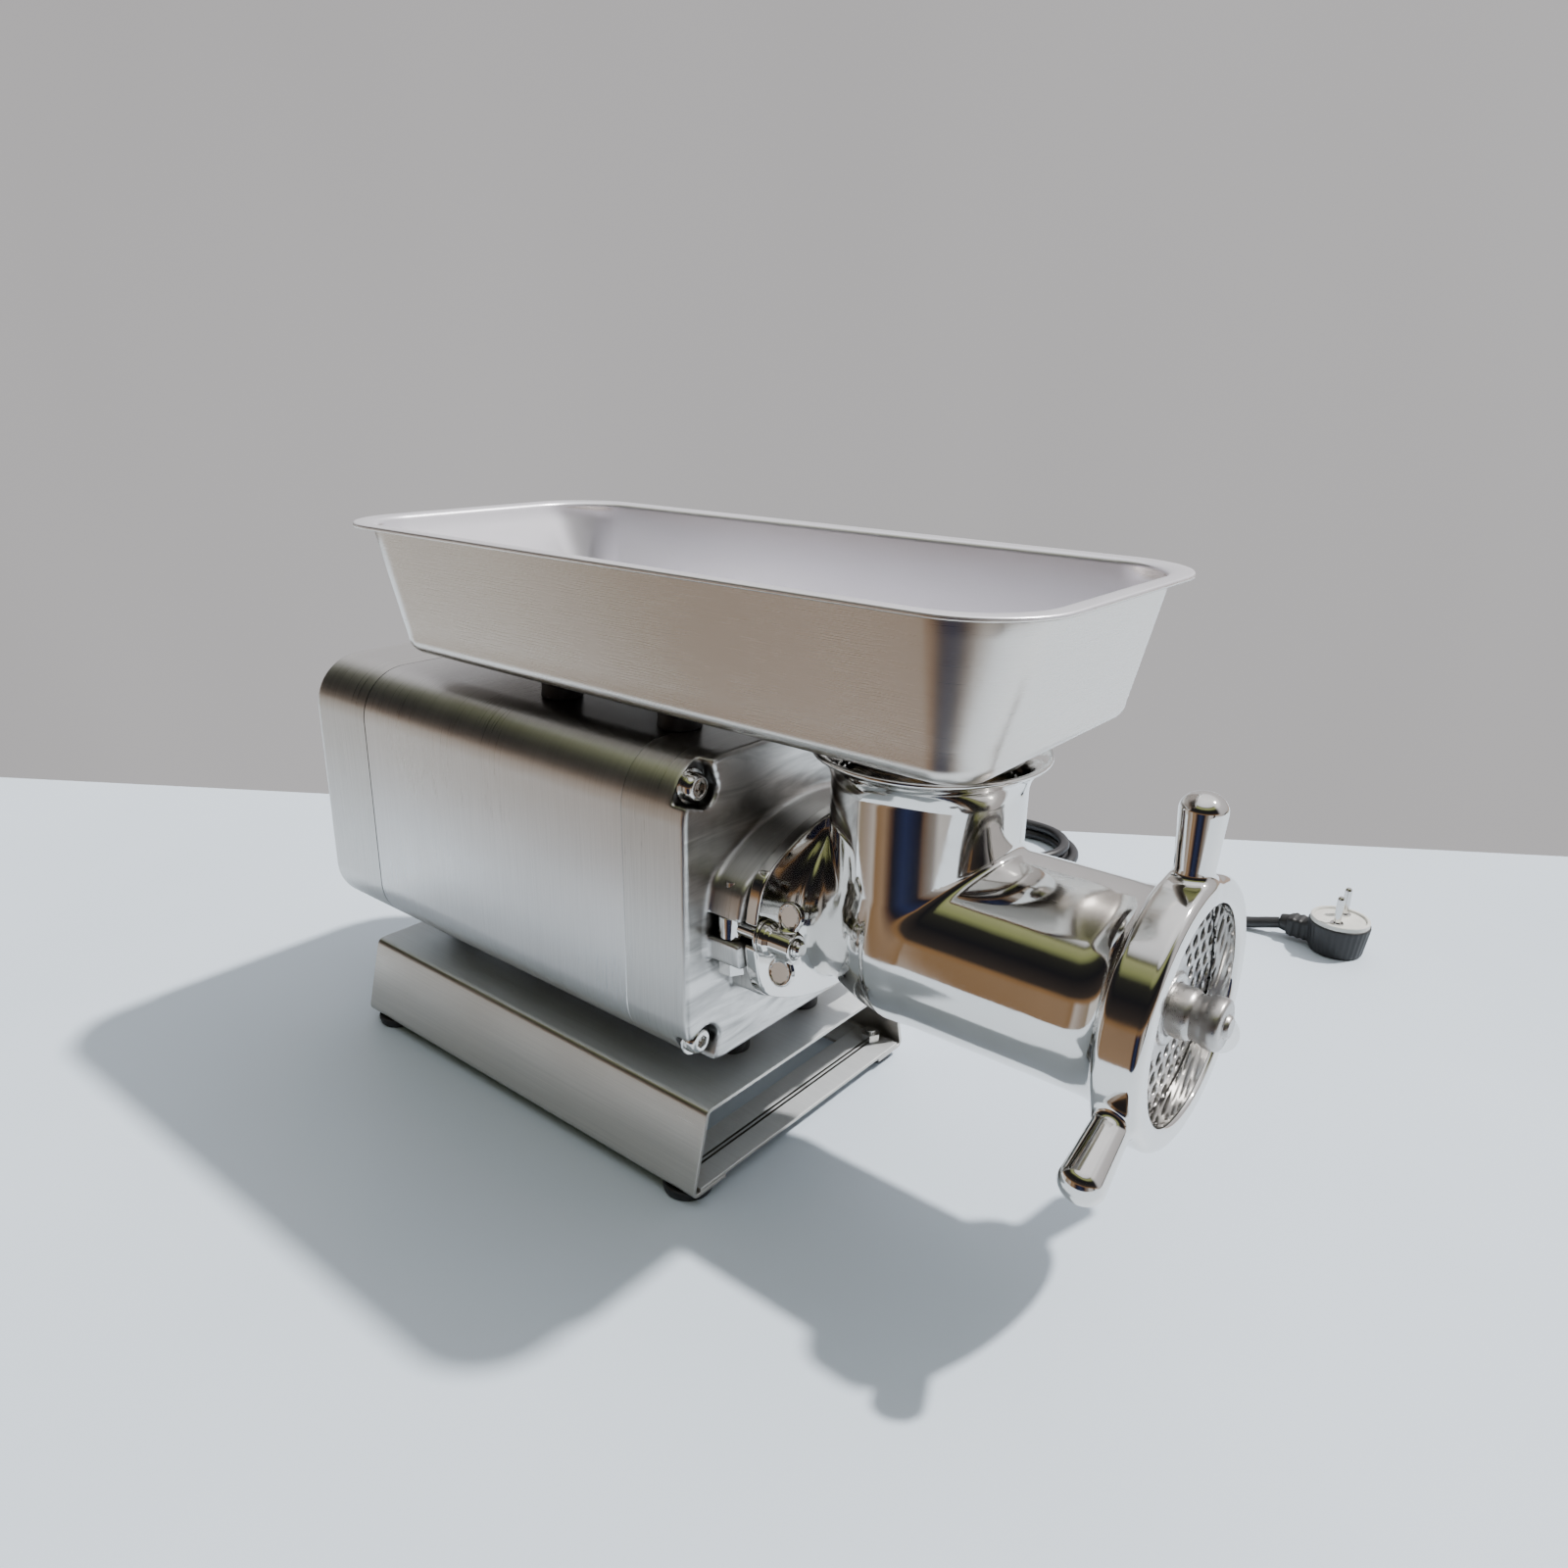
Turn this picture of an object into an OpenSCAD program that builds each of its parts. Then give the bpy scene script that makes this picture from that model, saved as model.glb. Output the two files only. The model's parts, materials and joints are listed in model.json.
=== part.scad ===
// Electric meat grinder: brushed steel body on a folded base, a polished grinding head held by
// two swing bolts, a lift-off feed tray, and a two-stage geared motor inside.
// X runs from the back of the body to the plate end, Z is up, and Z = 0 is the table.

/* [Body] */
// Length of the body from rear face to front face
body_len = 285; // [275:1:300]
// Width of the body
body_w = 167; // [164:1:172]
// Height of the body
body_h = 149; // [146:1:154]
// Radius of the body's long edges
body_r = 27; // [20:1:30]
// Height of the underside of the body above the table
body_z = 66; // [64:1:70]
// Depth of the front cover
front_depth = 38; // [36:1:42]
// Depth of the rear cover
rear_depth = 47; // [46:1:52]
// Sheet thickness of the body shell
shell_t = 1.5; // [1:0.5:2]
// Wall thickness of the cast covers
cast_t = 6; // [5:0.5:7]

/* [Base] */
// Length of the base
base_len = 265; // [260:1:270]
// Width of the deck
deck_w = 155; // [150:1:158]
// Width over the splayed sides at the bottom
splay_w = 177; // [172:1:179]
// Height of the top of the deck
deck_z = 49; // [47:1:52]
// Height of the rubber feet
foot_h = 5; // [4:0.5:8]
// Sheet thickness of the base
sheet_t = 2; // [1.5:0.5:2.5]

/* [Head] */
// Height of the auger axis above the table
axis_z = 135.5; // [134:0.5:137]
// Outer radius of the barrel
barrel_r = 44; // [43:0.5:45]
// Radius of the barrel bore
bore_r = 40.5; // [40:0.5:41]
// Outer radius of the upright throat
neck_r = 42.5; // [42:0.5:43.5]
// Distance of the throat axis ahead of the body's front face
throat_dx = 66.5; // [65:0.5:70]
// Radius of the flared throat rim
rim_r = 53.5; // [51:0.5:55]
// Height of the throat rim above the table
rim_z = 220.5; // [219:0.5:222]
// Distance of the plate end of the ring ahead of the body's front face
ring_dx = 191; // [189:1:195]
// Outer radius of the ring nut
ring_r = 56; // [56:0.5:58]
// Radius of the ring nut's opening
mouth_r = 45; // [43:0.5:46]
// Pitch of the ring nut's thread
ring_pitch = 4; // [3:0.5:4]
// Diameter of the holes in the perforated plate
hole_d = 5.5; // [4.5:0.5:6]

/* [Tray] */
// Length of the tray over its rim
tray_len = 400; // [390:1:405]
// Width of the tray over its rim
tray_w = 180; // [176:1:186]
// Height of the tray's rim above the table
tray_top = 295; // [290:1:300]
// Height of the tray's underside above the table
tray_bot = 229; // [227:0.5:231]
// Width of the tray's flat rim
tray_rim = 9.5; // [8:0.5:12]
// How far the tray's end walls lean in, from rim to floor
end_lean = 18.5; // [16:0.5:20]
// How far the tray's long walls lean in, from rim to floor
side_lean = 7; // [5:0.5:9]

/* [Gears] */
// Module of the motor pinion and its gear
fast_m = 1.5; // [1.5:0.5:1.5]
// Module of the slow pair
slow_m = 2; // [2:1:2]
// Teeth on the motor pinion
pinion_n = 14; // [14:1:14]
// Teeth on the layshaft gear
lay_gear_n = 42; // [42:1:42]
// Teeth on the layshaft pinion
lay_pinion_n = 13; // [13:1:13]
// Teeth on the output gear
out_gear_n = 29; // [29:1:29]

/* [Cord] */
// Diameter of the mains lead
cord_d = 8; // [7:0.5:9]
// Mean radius of the coil of lead
coil_r = 43; // [42:1:46]

/* [Hidden] */
$fn = 64;

// Lengthwise stations: the row's origin is midway between the rear face and the stud's end
stud_len = 15;
reach = ring_dx + stud_len;
xf = body_len - (body_len + reach) / 2;
xr = xf - body_len;
x_fs = xf - front_depth;
x_rs = xr + rear_depth;
body_cz = body_z + body_h / 2;
seam = 0.4;

// Gear train: the motor and the output share one axis, the layshaft lies below and beside it
lay_d = slow_m * (lay_pinion_n + out_gear_n) / 2;
lay_a = -30;
lay_y = lay_d * cos(lay_a);
lay_z = lay_d * sin(lay_a);
pressure_a = 20;
backlash = 0.14;
case_r = 39;
case_t = 4.5;
x_out0 = x_fs - 3;
x_web0 = x_fs - 25;
x_web1 = x_fs - 11;
x_fast0 = x_fs - 43;
x_case0 = x_fs - 46;
x_plate0 = x_fs - 58;
x_motor0 = xr + 72;
lay_brg_x = xf - 21.5;
front_brg_x = xf - 11;
seal_x = xf + 5;

// Hub and head stations
hub_x = xf + 19;
flange_t = 7;
flange_x = hub_x + flange_t;
lens_r = 112;
lens_d = 66;
pin_x = xf + 9;
pin_y = 62.8;
bolt_z = axis_z + 4;
wing_tilt = 14;
throat_x = xf + throat_dx;
ring_x1 = xf + ring_dx;
ring_x0 = ring_x1 - 18;
plate_x0 = ring_x0;
plate_t = 9;
barrel_x1 = plate_x0 + plate_t - 0.3;
plate_r = 48.5;
thread_r = 51.5;
stud_r = 10.7;
key_r = 1.8;
knife_x0 = plate_x0 - 10;
wash_x0 = flange_x + 0.7;

// Tray stations
tray_x1 = xf + 151;
tray_cx = tray_x1 - tray_len / 2;
floor_shift = 4;
spout_r = 36.5;
sheet = 1.2;

// Gland, coil and plug places on the table
gland_x = xr + 23;
gland_z = 100;
coil_x = -48;
coil_y = 401;
plug_x = 204;
plug_y = 392;
coil_half = cord_d;
// Route of the lead from the gland to the coil
feed_route = [
    [gland_x, 108, 100], [gland_x, 122, 98], [gland_x + 1, 138, 90], [gland_x + 3, 152, 76],
    [gland_x + 6, 165, 58], [gland_x + 10, 178, 39], [gland_x + 16, 193, 21],
    [gland_x + 25, 211, 9], [gland_x + 38, 232, 4.5], [gland_x + 54, 256, 4],
    [gland_x + 72, 280, 4], [gland_x + 91, 303, 4], [gland_x + 110, 325, 4],
    [gland_x + 125, 341, 4], [gland_x + 139, 350, 4], [gland_x + 152, 353.5, 4]
];
// Route of the lead from the coil to the plug
plug_route = [
    [-26, 354, 12], [-12, 354.5, 10], [2, 355.5, 6.5], [16, 357, 4.2], [36, 360, 4],
    [58, 365, 4], [82, 370.5, 4], [106, 376, 4], [128, 381, 4], [146, 385.5, 5],
    [158, 388.5, 7.5], [166, 390, 9.4]
];

function polar(r, a) = [r * cos(a), r * sin(a)];

// Profile points of a flare that leaves (r0, z0) upright and ends at (r1, z1)
function flare_pts(r0, z0, r1, z1, steps) =
    let (dr = r1 - r0, dz = z1 - z0, R = (dr * dr + dz * dz) / (2 * dr), a1 = asin(dz / R))
    [for (i = [0:steps]) let (a = a1 * i / steps) [r0 + R * (1 - cos(a)), z0 + R * sin(a)]];

function involute(a) = tan(a) * 180 / PI - a;

// Half angle of a tooth at radius r
function half_tooth(n, m, r) =
    let (rp = n * m / 2, rb = rp * cos(pressure_a))
    90 / n - backlash / rp * 90 / PI + involute(pressure_a)
        - (r > rb ? involute(acos(rb / r)) : 0);

function gear_pts(n, m) =
    let (rp = n * m / 2, root = rp - 1.1 * m, tip = rp + 0.8 * m, k = 4)
    [for (t = [0:n - 1]) each concat(
        [for (i = [0:k]) let (r = root + (tip - root) * i / k)
            polar(r, t * 360 / n - half_tooth(n, m, r))],
        [for (i = [k:-1:0]) let (r = root + (tip - root) * i / k)
            polar(r, t * 360 / n + half_tooth(n, m, r))])];

// Unit tangent of a route at point i
function route_dir(p, i) =
    let (a = p[max(i - 1, 0)], b = p[min(i + 1, len(p) - 1)], d = b - a) d / norm(d);

// Ring of points round a route at point i
function route_ring(p, i, r, sides) =
    let (t = route_dir(p, i), s = cross(t, [0, 0, 1]), u = s / norm(s), v = cross(u, t))
    [for (k = [0:sides - 1]) let (a = 360 * (k + 0.5) / sides)
        p[i] + r * (cos(a) * u + sin(a) * v)];

// ---------------------------------------------------------------- helpers

// Puts a shape drawn in X and Y into the Y-Z plane at x, with its own Z along +X
module face_x(x, y = 0, z = 0) {
    translate([x, y, z]) rotate([90, 0, 90]) children();
}

module rod_x(x0, x1, r, y = 0, z = axis_z) {
    face_x(x0, y, z) cylinder(h = x1 - x0, r = r);
}

module ring_x(x0, x1, r_out, r_in, y = 0, z = axis_z) {
    face_x(x0, y, z) linear_extrude(x1 - x0) difference() {
        circle(r_out);
        circle(r_in);
    }
}

// Turns a profile of [radius, x] points round the X axis at height z
module lathe_x(pts, y = 0, z = axis_z) {
    face_x(0, y, z) rotate_extrude() polygon(pts);
}

module rounded_rect(w, h, r) {
    square([w - 2 * r, h], center = true);
    square([w, h - 2 * r], center = true);
    for (sx = [-1, 1], sy = [-1, 1])
        translate([sx * (w / 2 - r), sy * (h / 2 - r)]) circle(r);
}

module body_slab(x0, x1, inset) {
    face_x(x0, 0, body_cz) linear_extrude(x1 - x0)
        rounded_rect(body_w - 2 * inset, body_h - 2 * inset, body_r - inset);
}

module hex_prism(af, h) {
    cylinder(h = h, r = af / 2 / cos(30), $fn = 6);
}

module sweep(p, r, sides = 8) {
    rings = len(p);
    pts = [for (i = [0:rings - 1]) each route_ring(p, i, r, sides)];
    walls = [for (i = [0:rings - 2], k = [0:sides - 1]) let (j = (k + 1) % sides)
        [i * sides + k, i * sides + j, (i + 1) * sides + j, (i + 1) * sides + k]];
    caps = [[for (k = [sides - 1:-1:0]) k], [for (k = [0:sides - 1]) (rings - 1) * sides + k]];
    polyhedron(concat(pts), concat(walls, caps), convexity = 6);
}

// ---------------------------------------------------------------- base

base_x0 = xf + 6.5 - base_len;
base_x1 = xf + 6.5;
foot_x = [base_x0 + 14, base_x1 - 14];
foot_y = 76;
spacer_x = [xr + 41, xf - 22];
spacer_y = 28;

module base_profile(inset) {
    drop = inset * 1.04;
    polygon([
        [-deck_w / 2 + drop, deck_z - inset], [deck_w / 2 - drop, deck_z - inset],
        [splay_w / 2 - drop, foot_h + inset], [-splay_w / 2 + drop, foot_h + inset]
    ]);
}

module at_feet() {
    for (x = foot_x, sy = [-1, 1]) translate([x, sy * foot_y, 0]) children();
}

module at_spacers() {
    for (x = spacer_x, sy = [-1, 1]) translate([x, sy * spacer_y, 0]) children();
}

module base_cover() {
    color("darkgray") difference() {
        face_x(base_x0) linear_extrude(base_len) difference() {
            base_profile(0);
            base_profile(sheet_t);
            translate([-splay_w / 2 + 24, 0]) square([splay_w - 48, foot_h + sheet_t + 1]);
        }
        at_spacers() translate([0, 0, deck_z - 5]) cylinder(h = 10, r = 3.4);
        at_feet() translate([0, 0, foot_h - 1]) cylinder(h = 8, r = 3.3);
    }
}

module strap(x0) {
    color("silver") difference() {
        translate([x0, -splay_w / 2 + 6, foot_h + sheet_t])
            cube([28, splay_w - 12, sheet_t]);
        at_feet() translate([0, 0, foot_h]) cylinder(h = 8, r = 3.3);
    }
}

module front_strap() { strap(base_x1 - 28); }

module rear_strap() { strap(base_x0); }

module rubber_feet() {
    color([0.06, 0.06, 0.06]) at_feet() difference() {
        cylinder(h = foot_h, r1 = 12, r2 = 12.4);
        translate([0, 0, 2.5]) cylinder(h = foot_h, r = 3.2);
    }
}

module foot_bolts() {
    color("silver") at_feet() translate([0, 0, 2.6]) cylinder(h = foot_h + 8, r = 3);
}

module foot_nuts() {
    color("silver") at_feet() translate([0, 0, foot_h + 2 * sheet_t]) difference() {
        hex_prism(10, 5);
        translate([0, 0, -1]) cylinder(h = 7, r = 3.02);
    }
}

module body_spacers() {
    color("dimgray") at_spacers() translate([0, 0, deck_z]) difference() {
        cylinder(h = body_z - deck_z, r = 9);
        translate([0, 0, -1]) cylinder(h = body_z, r = 3.3);
    }
}

module spacer_bolts() {
    color("silver") at_spacers() {
        translate([0, 0, deck_z - sheet_t - 4]) hex_prism(10, 4);
        translate([0, 0, deck_z - sheet_t]) cylinder(h = body_z + 5 - deck_z + sheet_t, r = 3);
    }
}

// ---------------------------------------------------------------- body

screw_y = body_w / 2 - 12.5;
screw_z = body_h / 2 - 13;
pocket_deep = 8.5;
rear_inset = 8;

module at_corners(inset = 0) {
    for (sy = [-1, 1], sz = [-1, 1])
        translate([0, sy * (screw_y - inset), body_cz + sz * (screw_z - inset)])
            rotate([sz > 0 ? 0 : 180, 0, 0]) children();
}

module body_shell() {
    color("silver") difference() {
        body_slab(x_rs + seam / 2, x_fs - seam / 2, 0);
        body_slab(x_rs - 1, x_fs + 1, shell_t);
    }
}

// Cast cap with a bevelled face and a tongue that enters the shell; it is drawn facing +X
module cap_shell(depth, inset, post_r) {
    bevel = 2.5;
    difference() {
        union() {
            hull() {
                body_slab(seam / 2, depth - bevel, 0);
                body_slab(depth - 0.1, depth, bevel);
            }
            body_slab(-6, seam, shell_t + 0.2);
        }
        body_slab(-7, depth - 8, cast_t);
    }
    // thick posts that take the corner screws
    intersection() {
        body_slab(0.5, depth - 1, 0.5);
        at_corners(inset) face_x(0.5) cylinder(h = depth - 1.5, r = post_r);
    }
}

// Pocket for a corner screw, open towards the top or bottom edge
module screw_pocket(depth) {
    face_x(depth - pocket_deep) cylinder(h = 12, r = 8.5);
    translate([depth - pocket_deep, -5.5, 0]) cube([12, 11, 30]);
}

module cover_bolt_holes(x) {
    for (sy = [-1, 1]) translate([x, sy * spacer_y, body_z - 1]) cylinder(h = 12, r = 3.05);
}

module spacer_bosses(x) {
    for (sy = [-1, 1]) translate([x, sy * spacer_y, body_z + 1]) cylinder(h = 12, r = 6);
}

module lens(r_end) {
    intersection() {
        translate([0, -lens_d]) circle(lens_r, $fn = 180);
        translate([0, lens_d]) circle(lens_r, $fn = 180);
        circle(r_end, $fn = 120);
    }
}

// Outline of the oil chamber round the two gear axes
module chamber(r) {
    circle(r);
    translate([lay_y, lay_z]) circle(r);
    rotate(lay_a) translate([0, -r]) square([lay_d, 2 * r]);
}

module front_cover() {
    color([0.7, 0.7, 0.7]) difference() {
        union() {
            translate([x_fs, 0, 0]) cap_shell(front_depth, 0, 15);
            face_x(xf - 2, 0, axis_z) linear_extrude(hub_x - xf + 2) lens(70.5);
            face_x(x_fs, 0, axis_z) linear_extrude(front_depth - 6) difference() {
                chamber(case_r);
                chamber(case_r - case_t);
            }
            face_x(x_fs, 0, axis_z) case_ears(14);
            rod_x(xf - 13, xf - 4, 38);
            rod_x(lay_brg_x - 0.5, xf - 4, 20, lay_y, axis_z + lay_z);
            spacer_bosses(spacer_x[1]);
        }
        translate([x_fs, 0, 0]) at_corners() {
            screw_pocket(front_depth);
            face_x(-1) cylinder(h = front_depth, r = 3.1);
        }
        rod_x(xf - 14, xf - 10, 20);
        rod_x(front_brg_x, seal_x + 0.01, 31);
        rod_x(seal_x, seal_x + 6.01, 25);
        rod_x(xf + 11, hub_x + 1, 34);
        rod_x(lay_brg_x - 1, lay_brg_x + 10, 16, lay_y, axis_z + lay_z);
        cover_bolt_holes(spacer_x[1]);
        for (sy = [-1, 1]) {
            // slot for the swing bolt, notch under the lower ear and the pin's hole
            translate([xf, sy > 0 ? 53.5 : -83.5, bolt_z - 5.5]) cube([30, 30, 11]);
            translate([xf, sy > 0 ? 54 : -84, bolt_z - 54]) cube([30, 30, 37]);
            translate([pin_x, sy * pin_y, bolt_z - 20]) cylinder(h = 43, r = 3.52);
        }
        // tapped holes for the gear case
        face_x(x_fs - 1, 0, axis_z) case_bolt_places() cylinder(h = 14, r = 2.03);
    }
}

module rear_cover() {
    color([0.72, 0.72, 0.72]) difference() {
        union() {
            translate([x_rs, 0, 0]) mirror([1, 0, 0]) cap_shell(rear_depth, rear_inset, 12);
            spacer_bosses(spacer_x[0]);
        }
        translate([x_rs, 0, 0]) mirror([1, 0, 0]) at_corners(rear_inset) {
            face_x(rear_depth - pocket_deep) cylinder(h = 12, r = 8);
            face_x(-1) cylinder(h = rear_depth, r = 3.1);
        }
        cover_bolt_holes(spacer_x[0]);
        // opening for the switch, hole for the gland and a row of cooling slots
        translate([gland_x, body_w / 2, switch_z]) cube([26, 30, 48], center = true);
        translate([gland_x, body_w / 2 - 20, gland_z]) rotate([-90, 0, 0])
            cylinder(h = 30, r = 8.05);
        for (i = [-3:3]) translate([xr - 1, -40, body_cz + i * 11 - 2]) cube([12, 80, 4]);
    }
}

module cover_screws(depth, inset) {
    at_corners(inset) {
        face_x(depth - pocket_deep) intersection() {
            cylinder(h = 6.5, r = 6.5);
            translate([0, 0, -3]) sphere(r = 10);
        }
        face_x(-14) cylinder(h = depth + 14.5 - pocket_deep, r = 3);
    }
}

module front_cover_screws() {
    color("silver") translate([x_fs, 0, 0]) cover_screws(front_depth, 0);
}

module rear_cover_screws() {
    color("silver") translate([x_rs, 0, 0]) mirror([1, 0, 0]) cover_screws(rear_depth, rear_inset);
}

// ---------------------------------------------------------------- gearbox

module case_bolt_places() {
    for (p = [[-30, 22], [-30, -22], [lay_y + 22, lay_z - 30], [34.5, 24]])
        translate(p) children();
}

module case_ears(h) {
    case_bolt_places() cylinder(h = h, r = 5.5);
}

module gear_case() {
    lz = axis_z + lay_z;
    color([0.62, 0.62, 0.62]) difference() {
        union() {
            face_x(x_case0, 0, axis_z) linear_extrude(x_fs - 0.6 - x_case0) difference() {
                chamber(case_r);
                chamber(case_r - case_t);
            }
            face_x(x_web0, 0, axis_z) linear_extrude(x_web1 - x_web0) intersection() {
                chamber(case_r - 1);
                union() {
                    circle(29);
                    translate([-60, -60]) square([60, 120]);
                    rotate(lay_a) translate([-10, -60]) square([30, 120]);
                }
            }
            face_x(x_plate0, 0, axis_z) linear_extrude(x_case0 - x_plate0 + 0.01) {
                circle(62);
                chamber(case_r);
            }
            face_x(x_fs - 12.6, 0, axis_z) case_ears(12);
        }
        rod_x(x_web0 - 1, x_web1 + 1, 23.5);
        rod_x(x_web0 - 1, x_web1 + 1, 17, lay_y, lz);
        rod_x(x_plate0 - 1, x_case0 + 1, 20);
        rod_x(x_case0 - 10, x_case0 + 1, 16, lay_y, lz);
        face_x(x_fs - 14, 0, axis_z) case_bolt_places() cylinder(h = 15, r = 2.2);
    }
}

module gear_case_gasket() {
    color([0.2, 0.3, 0.25]) difference() {
        face_x(x_fs - 0.6, 0, axis_z) linear_extrude(0.6) difference() {
            chamber(case_r);
            chamber(case_r - case_t);
        }
        face_x(x_fs - 2, 0, axis_z) case_bolt_places() cylinder(h = 4, r = 2.2);
    }
}

module gear_case_bolts() {
    color("silver") face_x(x_fs - 16.6, 0, axis_z) case_bolt_places() {
        hex_prism(8, 4);
        cylinder(h = 16 + 8, r = 2);
    }
}

module spur_gear(n, m, w, phase) {
    rotate(phase) linear_extrude(w) polygon(gear_pts(n, m));
}

module bearing(x0, w, r_out, r_in, y = 0, z = axis_z) {
    mid = (r_out + r_in) / 2;
    groove = (r_out - r_in) / 5;
    difference() {
        ring_x(x0, x0 + w, r_out, r_in, y, z);
        ring_x(x0 - 1, x0 + 1, mid + groove, mid - groove, y, z);
        ring_x(x0 + w - 1, x0 + w + 1, mid + groove, mid - groove, y, z);
    }
}

module output_bearings() {
    color("silver") {
        bearing(front_brg_x, seal_x - front_brg_x, 31, 15.05);
        bearing(x_web0, x_web1 - x_web0, 23.5, 10.05);
    }
}

module oil_seal() {
    color([0.25, 0.12, 0.08]) ring_x(seal_x, seal_x + 6, 25, 15.1);
}

module output_gear() {
    color([0.55, 0.55, 0.58]) difference() {
        face_x(x_out0, 0, axis_z) spur_gear(out_gear_n, slow_m, 18, lay_a);
        rod_x(x_out0 - 1, x_out0 + 20, 14);
        translate([x_out0 - 1, -4, axis_z]) cube([22, 8, 17]);
    }
}

socket_x = xf + 12;
module output_shaft() {
    color([0.6, 0.6, 0.62]) difference() {
        union() {
            rod_x(x_web0 - 0.5, x_out0 - 1, 10);
            rod_x(x_out0 - 1, x_out0 + 19, 14);
            rod_x(x_out0 + 19, front_brg_x - 0.5, 18);
            rod_x(front_brg_x - 0.5, socket_x, 15);
            rod_x(socket_x, hub_x + 3, 20);
            translate([x_out0, -4, axis_z]) cube([18, 8, 17]);
        }
        translate([socket_x - 4, -9.5, axis_z - 9.5]) cube([30, 19, 19]);
    }
}

module layshaft() {
    lz = axis_z + lay_z;
    color([0.55, 0.55, 0.58]) {
        rod_x(x_case0 - 9.5, x_out0 - 1, 6, lay_y, lz);
        rod_x(x_fast0 + 1, x_fast0 + 20, 8, lay_y, lz);
        face_x(x_out0 - 2, lay_y, lz)
            spur_gear(lay_pinion_n, slow_m, 20, lay_a + 180 + 180 / lay_pinion_n);
        rod_x(x_out0 + 17, lay_brg_x + 9.5, 6, lay_y, lz);
    }
}

module layshaft_gear() {
    lz = axis_z + lay_z;
    color([0.5, 0.5, 0.52]) difference() {
        face_x(x_fast0 + 2, lay_y, lz) spur_gear(lay_gear_n, fast_m, 14, lay_a + 180);
        rod_x(x_fast0, x_fast0 + 20, 8.02, lay_y, lz);
        for (a = [0:60:300]) face_x(x_fast0, lay_y + 18 * cos(a), lz + 18 * sin(a))
            cylinder(h = 20, r = 5);
    }
}

module layshaft_bearings() {
    lz = axis_z + lay_z;
    color("silver") {
        bearing(lay_brg_x, 10, 16, 6.05, lay_y, lz);
        bearing(x_case0 - 10, 10, 16, 6.05, lay_y, lz);
    }
}

// ---------------------------------------------------------------- motor

stator_x0 = xr + 99;
stator_x1 = stator_x0 + 68;

module motor_frame() {
    color([0.6, 0.62, 0.64]) {
        ring_x(x_motor0 + 10, x_plate0, 62, 58);
        for (a = [30:30:330]) if (a != 90 && a != 270 && a != 180)
            translate([0, 0, axis_z]) rotate([a, 0, 0])
                translate([x_motor0 + 12, 61, -1.5]) cube([x_plate0 - x_motor0 - 14, 4, 3]);
    }
}

module stator_core() {
    color([0.35, 0.35, 0.37]) difference() {
        rod_x(stator_x0, stator_x1, 57.95);
        rod_x(stator_x0 - 1, stator_x1 + 1, 31);
        for (a = [0:30:330]) translate([0, 0, axis_z]) rotate([a, 0, 0])
            translate([stator_x0 - 1, 34, -3]) cube([stator_x1 - stator_x0 + 2, 14, 6]);
    }
}

module winding_end(x0, w) {
    lathe_x([[33, x0 + 3], [36, x0], [49, x0], [53, x0 + 4], [53, x0 + w - 3],
        [50, x0 + w], [37, x0 + w], [33, x0 + w - 3]]);
}

module stator_windings() {
    color([0.72, 0.4, 0.2]) {
        winding_end(stator_x0 - 15, 15);
        winding_end(stator_x1, 15);
        for (a = [0:30:330]) translate([0, 0, axis_z]) rotate([a, 0, 0])
            translate([stator_x0 - 0.5, 34.5, -2.6])
                cube([stator_x1 - stator_x0 + 1, 13, 5.2]);
    }
}

module motor_end_shield() {
    color([0.6, 0.62, 0.64]) difference() {
        union() {
            rod_x(x_motor0, x_motor0 + 10, 62);
            rod_x(x_motor0 - 4, x_motor0 + 2, 26);
        }
        rod_x(x_motor0 - 2, x_motor0 + 11, 20);
        rod_x(x_motor0 - 5, x_motor0, 11);
        for (a = [0:45:315]) face_x(x_motor0 - 5, 42 * cos(a), axis_z + 42 * sin(a))
            cylinder(h = 20, r = 8);
    }
}

module motor_bearings() {
    color("silver") {
        bearing(x_plate0, 12, 20, 8.55);
        bearing(x_motor0 - 2, 12, 20, 8.55);
    }
}

module rotor_core() {
    color([0.45, 0.45, 0.47]) difference() {
        union() {
            rod_x(stator_x0, stator_x1, 30.6);
            ring_x(stator_x0 - 6, stator_x0, 29, 20);
            ring_x(stator_x1, stator_x1 + 6, 29, 20);
        }
        rod_x(stator_x0 - 8, stator_x1 + 8, 12.02);
    }
}

module rotor_shaft() {
    color([0.6, 0.6, 0.62]) {
        rod_x(x_motor0 - 26, x_motor0 + 10.5, 8.5);
        rod_x(x_motor0 + 10.5, x_plate0 - 0.5, 12);
        rod_x(x_plate0 - 0.5, x_fast0, 8.5);
        rod_x(x_fast0 - 1, x_fast0 + 17, 5);
    }
}

module motor_pinion() {
    color([0.55, 0.55, 0.58]) difference() {
        face_x(x_fast0 + 0.5, 0, axis_z)
            spur_gear(pinion_n, fast_m, 16, lay_a + 180 / pinion_n);
        rod_x(x_fast0 - 1, x_fast0 + 18, 5.02);
    }
}

module cooling_fan() {
    x0 = x_motor0 - 24;
    color([0.1, 0.1, 0.1]) difference() {
        union() {
            rod_x(x0, x0 + 14, 14);
            rod_x(x0 + 12, x0 + 14, 50);
            for (a = [0:40:320]) translate([0, 0, axis_z]) rotate([a, 0, 0])
                translate([x0, 12, -1]) cube([13, 36, 2]);
        }
        rod_x(x0 - 1, x0 + 16, 8.52);
    }
}

// ---------------------------------------------------------------- grinding head

neck_z0 = rim_z - 17.5;
neck_bore = neck_r - 4;

module throat_outer() {
    rotate_extrude() polygon(concat([[0, axis_z]], [[neck_r, axis_z]],
        flare_pts(neck_r, neck_z0, rim_r, rim_z, 8), [[0, rim_z]]));
}

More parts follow.
